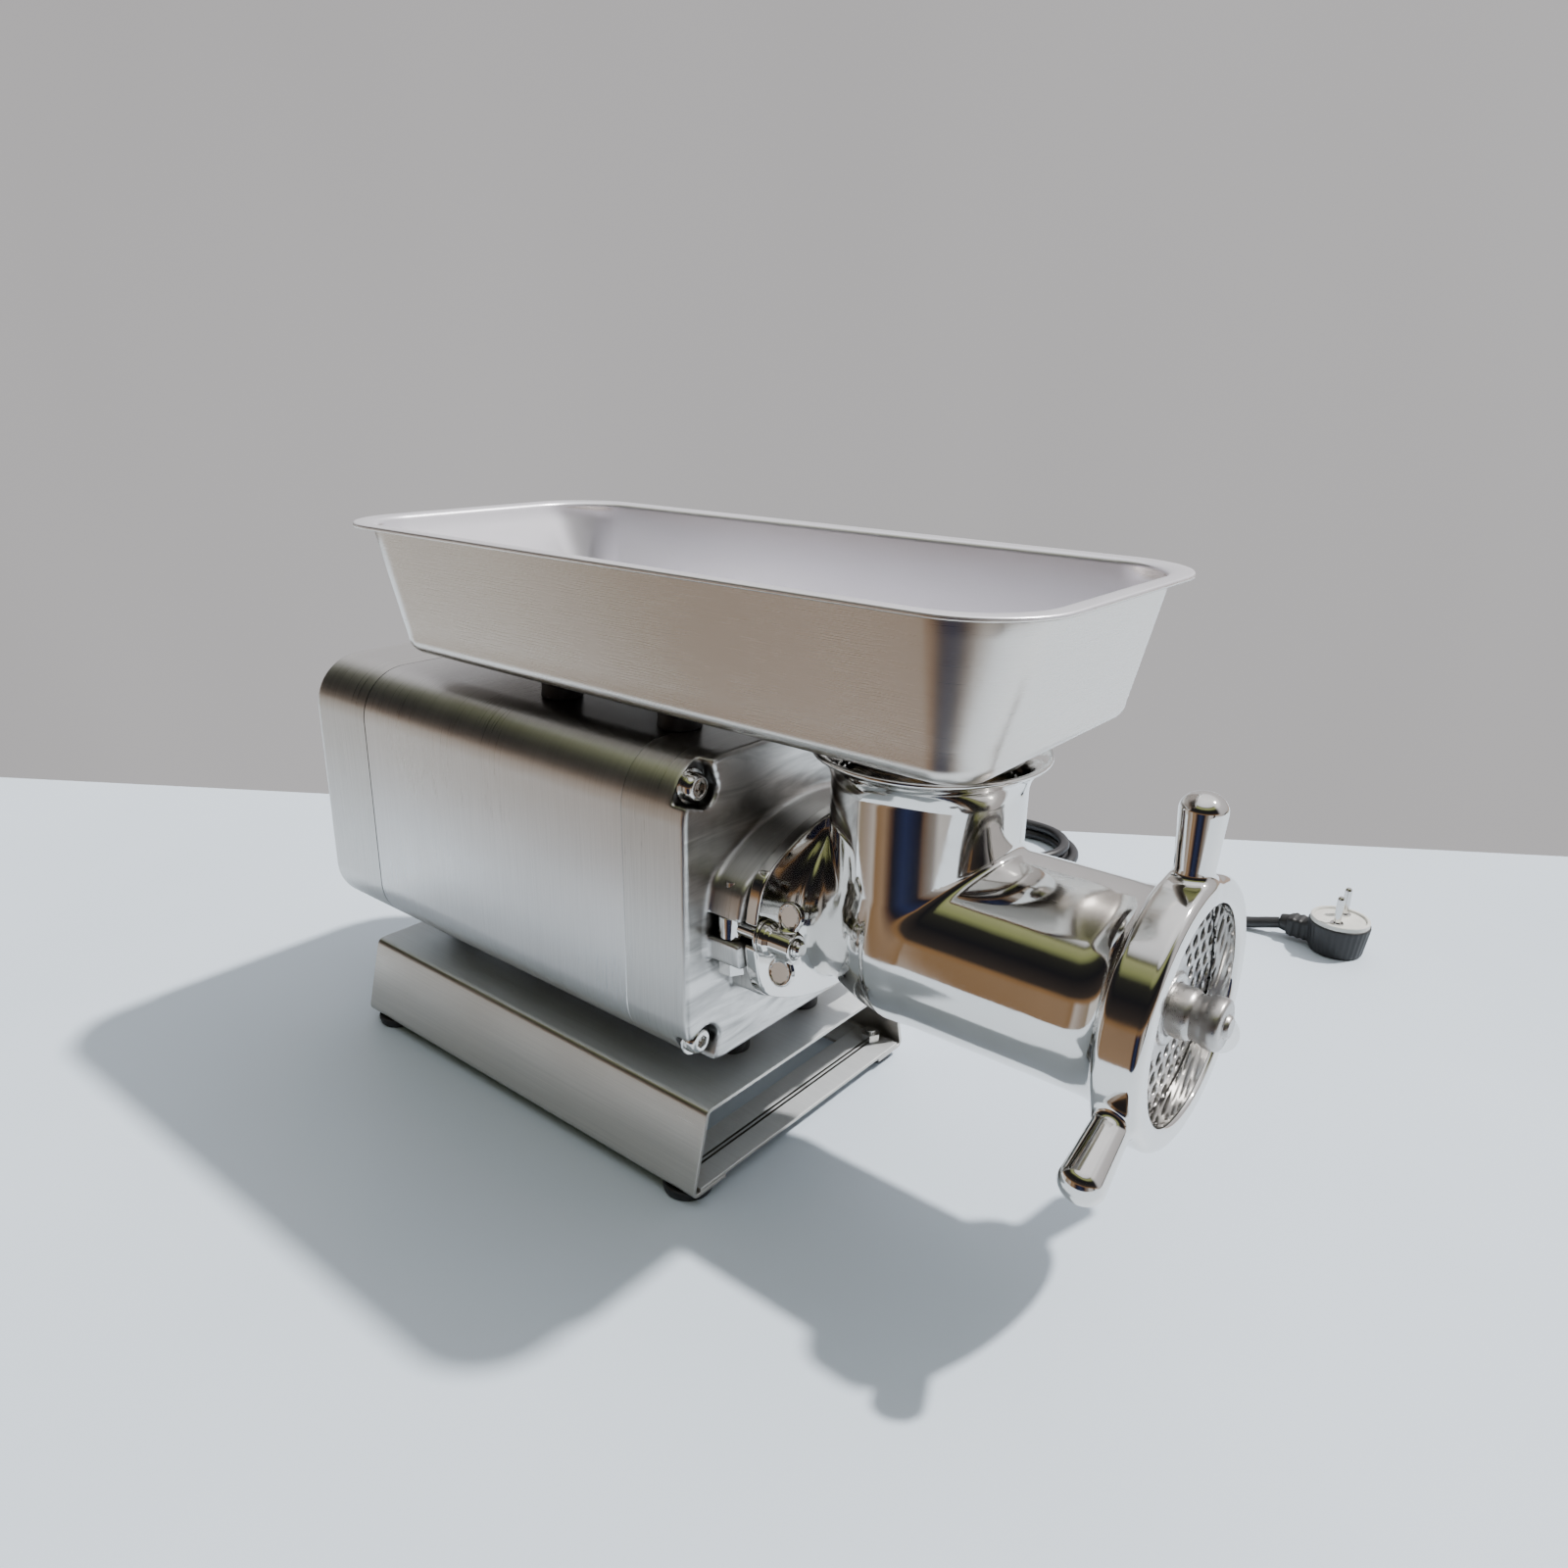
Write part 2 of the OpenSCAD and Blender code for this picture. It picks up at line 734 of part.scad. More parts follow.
module throat_inner() {
    rotate_extrude() polygon(concat([[0, axis_z], [neck_bore, axis_z]],
        flare_pts(neck_bore, neck_z0, rim_r - 2.5, rim_z + 0.01, 8),
        [[rim_r - 2.5, rim_z + 2], [0, rim_z + 2]]));
}

module grinder_head() {
    x_flare = ring_x0 - 14;
    threads = [for (i = [0:1]) each let (x = ring_x0 + 1 + i * ring_pitch)
        [[thread_r - 1.2, x], [thread_r, x + 1], [thread_r, x + 2], [thread_r - 1.2, x + 3]]];
    color([0.8, 0.79, 0.78]) difference() {
        union() {
            rod_x(throat_x, x_flare + 1, barrel_r);
            translate([throat_x, 0, axis_z]) sphere(r = barrel_r, $fn = 96);
            translate([throat_x, 0, 0]) throat_outer();
            lathe_x(concat([[0, x_flare - 2], [barrel_r, x_flare - 2]],
                flare_pts(barrel_r, x_flare, thread_r - 1.2, ring_x0 - 2, 6),
                [[thread_r - 1.2, ring_x0]], threads,
                [[thread_r - 1.2, barrel_x1], [0, barrel_x1]]));
            rod_x(hub_x, throat_x, 36);
            face_x(hub_x, 0, axis_z) linear_extrude(flange_t) lens(67.5);
            rod_x(xf + 11.5, hub_x + 1, 33.9);
        }
        lathe_x([[0, xf + 42], [27, xf + 42], [33, xf + 46], [37.5, xf + 50],
            [bore_r, xf + 56], [bore_r, knife_x0 + 20], [0, knife_x0 + 20]]);
        rod_x(plate_x0 - 0.5, barrel_x1 + 1, plate_r + 0.3);
        translate([throat_x, 0, 0]) throat_inner();
        rod_x(xf + 11, xf + 27, 24);
        rod_x(xf + 26, xf + 43, 18);
        for (sy = [-1, 1]) {
            rod_x(hub_x - 1, flange_x + 1, 5, sy * pin_y, bolt_z);
            translate([hub_x - 1, sy > 0 ? pin_y : -pin_y - 10, bolt_z - 5])
                cube([flange_t + 2, 10, 10]);
        }
    }
}

module head_bush() {
    color([0.7, 0.55, 0.3]) ring_x(xf + 27, xf + 41, 18, 14.05);
}

auger_x0 = xf + 57;
auger_x1 = knife_x0 - 1;
root_r = 8;

module flight() {
    pitch = 44;
    wide = 56;
    arc = [for (i = [0:5]) polar(bore_r - 0.7, wide * i / 5)];
    foot = [for (i = [2:-1:0]) polar(14, wide * i / 2)];
    face_x(auger_x0, 0, axis_z)
        linear_extrude(auger_x1 - auger_x0, twist = -360 * (auger_x1 - auger_x0) / pitch,
            slices = 36) polygon(concat(arc, foot));
}

module auger() {
    color([0.66, 0.66, 0.67]) {
        translate([socket_x - 3, -9.4, axis_z - 9.4]) cube([18, 18.8, 18.8]);
        rod_x(xf + 26.5, xf + 44, 14);
        difference() {
            union() {
                lathe_x([[0, xf + 43], [18, xf + 43], [24, auger_x1], [0, auger_x1]]);
                flight();
            }
            rod_x(auger_x1 - 18.5, auger_x1 + 1, root_r + 0.05);
        }
    }
}

module auger_stud() {
    color([0.7, 0.7, 0.71]) {
        rod_x(auger_x1 - 18, auger_x1 + 1, root_r);
        translate([auger_x1 + 0.05, -11, axis_z - 11])
            cube([plate_x0 - auger_x1 - 1.05, 22, 22]);
        lathe_x([[0, plate_x0 - 2], [stud_r, plate_x0 - 2], [stud_r, ring_x1 - 2],
            [9.4, ring_x1], [9.4, ring_x1 + 3], [stud_r, ring_x1 + 5],
            [stud_r, ring_x1 + 12], [stud_r - 1.5, ring_x1 + 13.5], [4.5, ring_x1 + 13.5],
            [4.5, ring_x1 + stud_len - 0.5], [4, ring_x1 + stud_len],
            [0, ring_x1 + stud_len]]);
    }
}

module knife() {
    color([0.72, 0.72, 0.74]) difference() {
        face_x(knife_x0, 0, axis_z) linear_extrude(9.6) {
            circle(19);
            for (a = [0:90:270]) rotate(a)
                polygon([[10, -9], [39, -5], [39, 3], [10, 6]]);
        }
        translate([knife_x0 - 1, -11.1, axis_z - 11.1]) cube([12, 22.2, 22.2]);
    }
}

module perforated_plate() {
    step = hole_d + 2.7;
    rows = 6;
    color([0.75, 0.75, 0.76]) difference() {
        union() {
            rod_x(plate_x0, plate_x0 + plate_t, plate_r);
            rod_x(plate_x0, plate_x0 + plate_t + 2, 15);
        }
        rod_x(plate_x0 - 1, plate_x0 + plate_t + 3, stud_r + 0.09);
        face_x(plate_x0 - 1, 0, axis_z) for (row = [-rows:rows], col = [-rows:rows])
            let (u = step * (col + (abs(row) % 2) / 2), v = step * row * sin(60),
                d = norm([u, v]))
            if (d > 19 && d < mouth_r - 1) translate([u, v]) cylinder(h = plate_t + 4, d = hole_d);
        rod_x(plate_x0 - 1, plate_x0 + plate_t + 1, key_r + 0.4, 0, axis_z - plate_r + 0.3);
    }
}

module plate_key() {
    color("silver") rod_x(plate_x0 - 7, plate_x0 + plate_t - 1, key_r, 0,
        axis_z - plate_r + 0.3);
}

module ring_lug() {
    rotate_extrude() polygon(concat([[0, 52], [7.6, 52], [9.3, 84]],
        [for (a = [15:15:90]) [2.3 + 7 * cos(a), 84 + 7 * sin(a)]], [[0, 91]]));
}

module ring_nut() {
    color([0.82, 0.81, 0.8]) difference() {
        union() {
            lathe_x([[thread_r, ring_x0], [ring_r - 2, ring_x0], [ring_r - 0.6, ring_x0 + 0.6],
                [ring_r, ring_x0 + 2], [ring_r, ring_x1 - 5], [ring_r - 0.7, ring_x1 - 2.4],
                [ring_r - 2.4, ring_x1 - 0.7], [ring_r - 5, ring_x1], [mouth_r + 3, ring_x1],
                [mouth_r, ring_x1 - 2], [mouth_r, ring_x0 + 10], [thread_r, ring_x0 + 9]]);
            for (a = [2, 122, 242]) translate([ring_x0 + 10.5, 0, axis_z]) rotate([-a, 0, 0])
                ring_lug();
        }
        rod_x(ring_x0 - 1, ring_x0 + 9.3, thread_r + 0.35);
    }
}

// ---------------------------------------------------------------- swing bolts

module hinge_pins() {
    color("silver") for (sy = [-1, 1]) translate([pin_x, sy * pin_y, 0]) {
        translate([0, 0, bolt_z - 20]) cylinder(h = 41, r = 3.5);
        translate([0, 0, bolt_z - 22.8]) hex_prism(11, 5.6);
    }
}

module swing_bolt(sy) {
    color([0.78, 0.77, 0.75]) translate([pin_x, sy * pin_y, bolt_z]) difference() {
        union() {
            translate([0, 0, -5.2]) cylinder(h = 10.4, r = 6.5);
            face_x(4) cylinder(h = 35, r = 4);
        }
        translate([0, 0, -6]) cylinder(h = 12, r = 3.55);
    }
}

module washer(sy) {
    color([0.8, 0.79, 0.77]) ring_x(wash_x0, wash_x0 + 1.8, 8, 4.3, sy * pin_y,
        bolt_z);
}

module wing_nut(sy) {
    x0 = wash_x0 + 1.9;
    color([0.82, 0.81, 0.79]) difference() {
        union() {
            lathe_x([[0, x0], [7.6, x0], [7.6, x0 + 4], [6.2, x0 + 6], [6.2, x0 + 15],
                [5.4, x0 + 16], [0, x0 + 16]], sy * pin_y, bolt_z);
            translate([x0, sy * pin_y, bolt_z]) rotate([sy * wing_tilt, 0, 0])
                for (sz = [-1, 1]) {
                    translate([5, -1.6, sz * 7 - 4]) cube([7, 3.2, 8]);
                    translate([10.5, -1.7, sz * 12.3]) rotate([-90, 0, 0])
                        cylinder(h = 3.4, r = 6.3);
                }
        }
        rod_x(x0 - 1, x0 + 17, 4.06, sy * pin_y, bolt_z);
    }
}

module swing_bolt_near() { swing_bolt(-1); }
module swing_bolt_far() { swing_bolt(1); }
module washer_near() { washer(-1); }
module washer_far() { washer(1); }
module wing_nut_near() { wing_nut(-1); }
module wing_nut_far() { wing_nut(1); }

// ---------------------------------------------------------------- tray

module tray_slab(z, inset, r, lean = 0, h = 0.1) {
    translate([tray_cx + lean * floor_shift, 0, z]) linear_extrude(h)
        rounded_rect(tray_len - 2 * (inset + lean * end_lean),
            tray_w - 2 * (inset + lean * side_lean), r);
}

// Solid pan shape from its floor to its rim, shrunk by t
module pan(t) {
    hull() {
        tray_slab(tray_bot + t, tray_rim + 7, 11, 1);
        tray_slab(tray_bot + t + 2.2, tray_rim + 2.2 + t, 15, 1);
        tray_slab(tray_bot + t + 7, tray_rim + t, 18, 1);
        tray_slab(tray_top - 0.1 + t, tray_rim + t, 33);
    }
}

module feed_tray() {
    color("silver") difference() {
        union() {
            pan(0);
            tray_slab(tray_top - sheet, 0, 40, 0, sheet);
            translate([throat_x, 0, tray_bot - 31]) cylinder(h = 32, r = spout_r);
            translate([throat_x, 0, tray_bot - 12]) cylinder(h = 2.5, r = 40.5);
        }
        pan(sheet);
        translate([throat_x, 0, tray_bot - 40]) cylinder(h = 50, r = spout_r - 1.5);
    }
}

module tray_buffers() {
    color([0.05, 0.05, 0.05]) for (x = [xf - 124, xf - 43], sy = [-1, 1])
        translate([x, sy * 41, body_z + body_h]) cylinder(h = tray_bot - body_z - body_h - 0.05,
            r = 10.5);
}

// ---------------------------------------------------------------- switch and wiring

switch_z = 143;
button_dz = 11.5;

module switch_bezel() {
    color([0.08, 0.08, 0.08]) difference() {
        union() {
            translate([gland_x, body_w / 2 + 1.7, switch_z]) rotate([90, 0, 0])
                linear_extrude(3.4, center = true) rounded_rect(36, 58, 5);
            translate([gland_x, body_w / 2 - 8, switch_z]) cube([25.4, 20, 47.4], center = true);
        }
        for (s = [-1, 1]) translate([gland_x, body_w / 2 - 20, switch_z + s * button_dz])
            rotate([-90, 0, 0]) cylinder(h = 30, r = 8.4);
    }
}

module switch_block() {
    color([0.5, 0.5, 0.48]) translate([gland_x, body_w / 2 - 26, switch_z])
        cube([24, 15.6, 44], center = true);
}

module button(s) {
    translate([gland_x, body_w / 2 - 13, switch_z + s * button_dz]) rotate([-90, 0, 0])
        cylinder(h = 19.4, r = 8.1);
}

module start_button() { color([0.1, 0.5, 0.2]) button(1); }
module stop_button() { color([0.7, 0.1, 0.1]) button(-1); }

module run_capacitor() {
    color([0.85, 0.85, 0.82]) rod_x(xr + 108, xr + 180, 16.5, -59, body_cz + 50);
}

module terminal_block() {
    color([0.9, 0.9, 0.86]) for (i = [0:3])
        translate([xr + 96 + i * 11, 52, body_cz + 48]) cube([10, 18, 14]);
}

// ---------------------------------------------------------------- mains lead

module cord_gland() {
    color([0.05, 0.05, 0.05]) translate([gland_x, body_w / 2, gland_z]) rotate([-90, 0, 0])
        difference() {
            union() {
                translate([0, 0, -14]) cylinder(h = 14.1, r = 8);
                cylinder(h = 5, r = 10.5);
                translate([0, 0, 5]) cylinder(h = 19.5, r1 = 7.5, r2 = 5.5);
            }
            translate([0, 0, -15]) cylinder(h = 60, r = cord_d / 2 + 0.02);
        }
}

module power_cord() { color([0.04, 0.04, 0.04]) sweep(feed_route, cord_d / 2); }

module plug_cord() { color([0.04, 0.04, 0.04]) sweep(plug_route, cord_d / 2); }

module cord_coil() {
    color([0.04, 0.04, 0.04]) translate([coil_x, coil_y, 0]) rotate_extrude()
        translate([coil_r - coil_half, 0]) square([2 * coil_half, 2 * cord_d]);
}

module plug() {
    color([0.04, 0.04, 0.04]) translate([plug_x, plug_y, 0]) {
        cylinder(h = 22, r1 = 17, r2 = 20);
        translate([0, 0, 22]) cylinder(h = 3, r = 18.5);
        translate([-32, -8, 2.5]) cube([24, 16, 15]);
        face_x(-38, 0, 10) cylinder(h = 8, r1 = 5.2, r2 = 7);
    }
    color("silver") for (s = [-1, 1]) translate([plug_x, plug_y + s * 9.5, 25])
        cylinder(h = 18.5, r = 2.4);
}

base_cover();
front_strap();
rear_strap();
rubber_feet();
foot_bolts();
foot_nuts();
body_spacers();
spacer_bolts();
body_shell();
front_cover();
rear_cover();
front_cover_screws();
rear_cover_screws();
gear_case();
gear_case_gasket();
gear_case_bolts();
motor_frame();
stator_core();
stator_windings();
motor_end_shield();
motor_bearings();
rotor_core();
rotor_shaft();
motor_pinion();
cooling_fan();
layshaft();
layshaft_gear();
layshaft_bearings();
output_shaft();
output_gear();
output_bearings();
oil_seal();
grinder_head();
head_bush();
auger();
auger_stud();
knife();
perforated_plate();
plate_key();
ring_nut();
hinge_pins();
swing_bolt_near();
swing_bolt_far();
washer_near();
washer_far();
wing_nut_near();
wing_nut_far();
feed_tray();
tray_buffers();
switch_bezel();
switch_block();
start_button();
stop_button();
run_capacitor();
terminal_block();
cord_gland();
power_cord();
cord_coil();
plug_cord();
plug();
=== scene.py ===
"""Looks of the electric meat grinder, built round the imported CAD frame.

Lengths inside the shape functions are millimetres in the row frame, and mesh makers turn them into metres.
X runs from the back of the body to the plate end, and Z = 0 is the table.
"""
import itertools
import json
import math

import bmesh
import bpy
import numpy as np
from mathutils import Matrix, Vector


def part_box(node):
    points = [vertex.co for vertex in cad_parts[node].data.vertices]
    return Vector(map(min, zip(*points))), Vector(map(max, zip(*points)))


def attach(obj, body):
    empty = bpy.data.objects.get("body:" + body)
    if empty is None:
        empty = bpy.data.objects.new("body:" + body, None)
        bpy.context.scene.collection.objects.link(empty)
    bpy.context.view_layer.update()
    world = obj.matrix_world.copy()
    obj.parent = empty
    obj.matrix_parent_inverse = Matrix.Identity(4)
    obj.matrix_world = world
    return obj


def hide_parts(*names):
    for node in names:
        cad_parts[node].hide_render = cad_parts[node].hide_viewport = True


MM = 0.001
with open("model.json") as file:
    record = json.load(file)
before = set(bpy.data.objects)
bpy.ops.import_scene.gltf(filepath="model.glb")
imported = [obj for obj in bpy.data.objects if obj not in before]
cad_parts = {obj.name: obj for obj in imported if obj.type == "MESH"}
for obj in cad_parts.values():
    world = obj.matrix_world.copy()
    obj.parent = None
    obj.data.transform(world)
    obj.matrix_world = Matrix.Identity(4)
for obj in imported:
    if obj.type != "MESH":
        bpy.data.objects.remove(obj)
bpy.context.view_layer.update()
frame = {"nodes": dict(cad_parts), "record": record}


def box_mm(node):
    """Lowest and highest corner of a CAD node, in millimetres."""
    low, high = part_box(node)
    return np.array(low) / MM, np.array(high) / MM


# ---------------------------------------------------------------- stations, read from the frame

shell_low, shell_high = box_mm("body_shell")
_, head_high = box_mm("grinder_head")
ring_low, ring_high = box_mm("ring_nut")
tray_low, tray_high = box_mm("feed_tray")
_, cover_high = box_mm("front_cover")
rear_low, _ = box_mm("rear_cover")
base_low, base_high = box_mm("base_cover")
bezel_low, bezel_high = box_mm("switch_bezel")
plug_low, plug_high = box_mm("plug")
gland_low, gland_high = box_mm("cord_gland")
plate_low, plate_high = box_mm("perforated_plate")
stud_low, stud_high = box_mm("auger_stud")
coil_low, coil_high = box_mm("cord_coil")
feet_low, feet_high = box_mm("rubber_feet")
buffer_low, buffer_high = box_mm("tray_buffers")

HUB_DEPTH = 19.0
HUB_X = cover_high[0]
FACE_X = HUB_X - HUB_DEPTH
REAR_X = rear_low[0]
BODY_HALF_W = shell_high[1]
BODY_LOW, BODY_HIGH = shell_low[2], shell_high[2]
BODY_CZ = (BODY_LOW + BODY_HIGH) / 2
BODY_HALF_H = (BODY_HIGH - BODY_LOW) / 2
BODY_R = 27.0
AXIS_Z = (plate_low[2] + plate_high[2]) / 2
THROAT_X = FACE_X + 66.5
RIM_Z = head_high[2]
RING_X0, RING_X1 = ring_low[0], ring_high[0]
SCREW_Y = BODY_HALF_W - 12.5
SCREW_Z = BODY_HALF_H - 13.0
PIN_X, PIN_Y = FACE_X + 9.0, 62.8
BOLT_Z = AXIS_Z + 4.0
GLAND_X, GLAND_Z = (gland_low[0] + gland_high[0]) / 2, (gland_low[2] + gland_high[2]) / 2
SWITCH_Z = (bezel_low[2] + bezel_high[2]) / 2

# ---------------------------------------------------------------- camera


def scene_object(name, data):
    """New object that holds data, linked to the scene."""
    made = bpy.data.objects.new(name, data)
    bpy.context.scene.collection.objects.link(made)
    return made


CAMERA_AT = Vector((348.6, -404.5, 364.2)) * MM
CAMERA_YAW, CAMERA_PITCH, CAMERA_ROLL = 38.6, -19.3, 1.0
CAMERA_LENS = 26.24


def add_camera():
    yaw, pitch, roll = (math.radians(a) for a in (CAMERA_YAW, CAMERA_PITCH, CAMERA_ROLL))
    ahead = Vector((-math.sin(yaw) * math.cos(pitch), math.cos(yaw) * math.cos(pitch), math.sin(pitch)))
    right = Vector((math.cos(yaw), math.sin(yaw), 0))
    up = right.cross(ahead)
    turned_right = math.cos(roll) * right + math.sin(roll) * up
    turned_up = math.cos(roll) * up - math.sin(roll) * right
    data = bpy.data.cameras.new("camera")
    data.lens = CAMERA_LENS
    data.sensor_width = 36
    data.clip_start = 0.01
    camera = scene_object("camera", data)
    camera.matrix_world = Matrix.Translation(CAMERA_AT) @ Matrix(
        (turned_right, turned_up, -ahead)).transposed().to_4x4()
    bpy.context.scene.camera = camera


add_camera()

# ---------------------------------------------------------------- material helpers


def scaled(color, factor):
    """Colour made darker, or lighter up to white."""
    return tuple(min(1.0, c * factor) for c in color)


class Nodes:
    """A node tree whose nodes are added one line at a time.

    A value is a constant or another node's output.
    """

    def __init__(self, tree):
        self.tree = tree

    def add(self, kind, values=(), **settings):
        """New node; values maps a socket's name or number to what goes into it."""
        node = self.tree.nodes.new("ShaderNode" + kind)
        for name, value in settings.items():
            setattr(node, name, value)
        for name, value in dict(values).items():
            self.put(node.inputs[name], value)
        return node

    def put(self, socket, value):
        if isinstance(value, bpy.types.NodeSocket):
            self.tree.links.new(value, socket)
        else:
            socket.default_value = value

    def parts(self, vector):
        """X, Y and Z of a vector."""
        return self.add("SeparateXYZ", {0: vector}).outputs

    def ramp(self, value, low, high, start=0.3, end=0.7, kind="LINEAR"):
        """Maps value from start..end to low..high, clamped."""
        return self.add("MapRange", {"Value": value, "From Min": start, "From Max": end, "To Min": low,
                                     "To Max": high}, interpolation_type=kind).outputs["Result"]

    def math(self, kind, *values):
        return self.add("Math", enumerate(values), operation=kind).outputs[0]

    def mix(self, factor, a, b):
        """Colour between a and b; each is a colour or an output."""
        a, b = ((*c, 1) if isinstance(c, tuple) else c for c in (a, b))
        return self.add("Mix", {0: factor, 6: a, 7: b}, data_type="RGBA").outputs[2]

    def palette(self, value, stops):
        """Colour that runs through the given (place, colour) stops."""
        node = self.add("ValToRGB", {"Fac": value})
        ramp = node.color_ramp
        while len(ramp.elements) < len(stops):
            ramp.elements.new(0.5)
        for element, (place, color) in zip(ramp.elements, stops):
            element.position = place
            element.color = (*color, 1)
        return node.outputs["Color"]


class Shader(Nodes):
    """A material's nodes, in the object's own coordinates."""

    def __init__(self, name, color, metallic=0.0, roughness=0.5):
        self.material = bpy.data.materials.new(name)
        self.material.use_nodes = True
        super().__init__(self.material.node_tree)
        self.surface = self.tree.nodes["Principled BSDF"].inputs
        self.put(self.surface["Base Color"], (*color, 1))
        self.put(self.surface["Metallic"], metallic)
        self.roughness(roughness)
        self.place = self.add("TexCoord").outputs["Object"]

    def color(self, value):
        self.put(self.surface["Base Color"], value)

    def roughness(self, value):
        self.put(self.surface["Roughness"], value)

    def noise(self, stretch, detail=3.0, rough=0.55, distort=0.0, offset=(0, 0, 0)):
        """Noise whose frequency along X, Y and Z is given per metre."""
        place = self.add("Mapping", {"Vector": self.place, "Location": offset, "Scale": stretch}).outputs[0]
        return self.add("TexNoise", {"Vector": place, "Scale": 1.0, "Detail": detail, "Roughness": rough,
                                     "Distortion": distort}).outputs["Fac"]

    def bump(self, height, depth_mm, strength=1.0, after=None):
        """Relief of the given depth, laid over an earlier one if there is one."""
        values = {"Strength": strength, "Distance": depth_mm * MM, "Height": height}
        if after is not None:
            values["Normal"] = after
        normal = self.add("Bump", values).outputs["Normal"]
        self.put(self.surface["Normal"], normal)
        return normal

    def normal_axis(self, axis):
        """Component of the surface's own normal along X, Y or Z in object space."""
        return self.parts(self.add("TexCoord").outputs["Normal"])[axis]

    def blend(self, factor, a, b):
        """Number between a and b."""
        return self.math("ADD", self.math("MULTIPLY", a, self.math("SUBTRACT", 1.0, factor)),
                         self.math("MULTIPLY", b, factor))

    def pocket_shade_mask(self):
        """Mask for the painted shade in the front cover's screw pockets: 1 at their bottom and 0 on the outer
        surfaces.
        """
        x, y, z = self.parts(self.place)
        u = self.math("SUBTRACT", self.math("ABSOLUTE", y), SCREW_Y * MM)
        v = self.math("SUBTRACT", self.math("ABSOLUTE", self.math("SUBTRACT", z, BODY_CZ * MM)), SCREW_Z * MM)
        far = self.math("SQRT", self.math("ADD", self.math("MULTIPLY", u, u), self.math("MULTIPLY", v, v)))
        below = self.math("SUBTRACT", FACE_X * MM, x)
        deep = self.math("MULTIPLY", self.ramp(below, 0, 1, 0.8 * MM, 4.5 * MM),
                         self.ramp(below, 1, 0, 9 * MM, 9.6 * MM))
        return self.math("MULTIPLY", deep, self.ramp(far, 1, 0, 10.5 * MM, 12 * MM))

    def open_sky(self, reach_mm, start, end):
        """Ambient-occlusion mask for painted shade: 0 deep in corners and under other pieces, 1 where nothing
        stands within reach.
        """
        shade = self.add("AmbientOcclusion", {"Distance": reach_mm * MM}, samples=6)
        return self.ramp(shade.outputs["AO"], 0.0, 1.0, start, end)


def brushed_steel(name, color, along, roughness=(0.24, 0.38), grain_mm=0.7, length_mm=45.0, tint=0.12,
                  painted_top_sheen=None, painted_shade=None):
    """Stainless steel whose grinding lines run along the given axes.

    The argument after tint gives faces that look up a paler colour, painted in as a reflection of the bright
    sky, with extra roughness and a metallic value, and the share of the normal along Z from which it counts;
    the last argument gives the reach in millimetres within which other pieces paint shade into the steel, and
    the share of colour that is left.
    """
    s = Shader(name, color, 1.0, 0.3)
    fine = [1000.0 / grain_mm] * 3
    for axis in along:
        fine[axis] = 1000.0 / length_mm
    coarse = [f / 4 for f in fine]
    lines = s.noise(tuple(fine), 4.0, 0.6)
    bands = s.noise(tuple(coarse), 3.0, 0.5, offset=(3, 1, 2))
    smudge = s.noise((9, 9, 9), 3.0, 0.55, 0.4, (5, 2, 7))
    dark = scaled(color, 1 - tint)
    light = scaled(color, 1 + tint * 0.6)
    grain = s.ramp(s.math("ADD", s.math("MULTIPLY", lines, 0.75), s.math("MULTIPLY", bands, 0.25)), 0, 1)
    finish = s.mix(grain, dark, light)
    low, high = roughness
    spread = high - low
    dull = s.math("ADD", s.ramp(lines, low, low + spread * 0.6), s.ramp(smudge, 0.0, spread * 0.6))
    # Faces that look up get a paler colour, painted in as a reflection of the bright sky, with extra
    # roughness and less metal.
    if painted_top_sheen is not None:
        own, extra, metal, start = painted_top_sheen
        level = s.ramp(s.normal_axis(2), 0, 1, start, start + 0.05)
        finish = s.mix(level, finish, s.mix(grain, scaled(own, 1 - tint), own))
        dull = s.math("ADD", dull, s.math("MULTIPLY", level, extra))
        s.put(s.surface["Metallic"], s.ramp(level, 1.0, metal, 0, 1))
    # Painted shade: ambient occlusion darkens the steel towards the given share of its colour near other
    # pieces.
    if painted_shade is not None:
        reach_mm, left = painted_shade
        finish = s.mix(s.open_sky(reach_mm, 0.25, 0.9), scaled(color, left), finish)
    s.color(finish)
    s.roughness(dull)
    s.bump(lines, tint * 0.1, 0.3)
    return s.material


def polished_steel(name, color, roughness=(0.045, 0.13), waviness=0.25):
    """Hand-polished stainless steel with faint swirls, smears and ripples."""
    s = Shader(name, color, 1.0, 0.06)
    smear = s.noise((28, 28, 28), 4.0, 0.6, 0.8)
    swirl = s.noise((700, 260, 700), 3.0, 0.6, 0.3, (2, 9, 4))
    low, high = roughness
    s.roughness(s.math("ADD", s.ramp(smear, low, high, 0.42, 0.8), s.ramp(swirl, 0.0, 0.03)))
    dark = scaled(color, 0.93)
    s.color(s.mix(s.ramp(smear, 0, 1), color, dark))
    ripple = s.noise((45, 45, 45), 2.0, 0.45, 0.2, (7, 3, 1))
    first = s.bump(ripple, waviness, 0.35)
    s.bump(swirl, 0.006, 0.25, first)
    return s.material


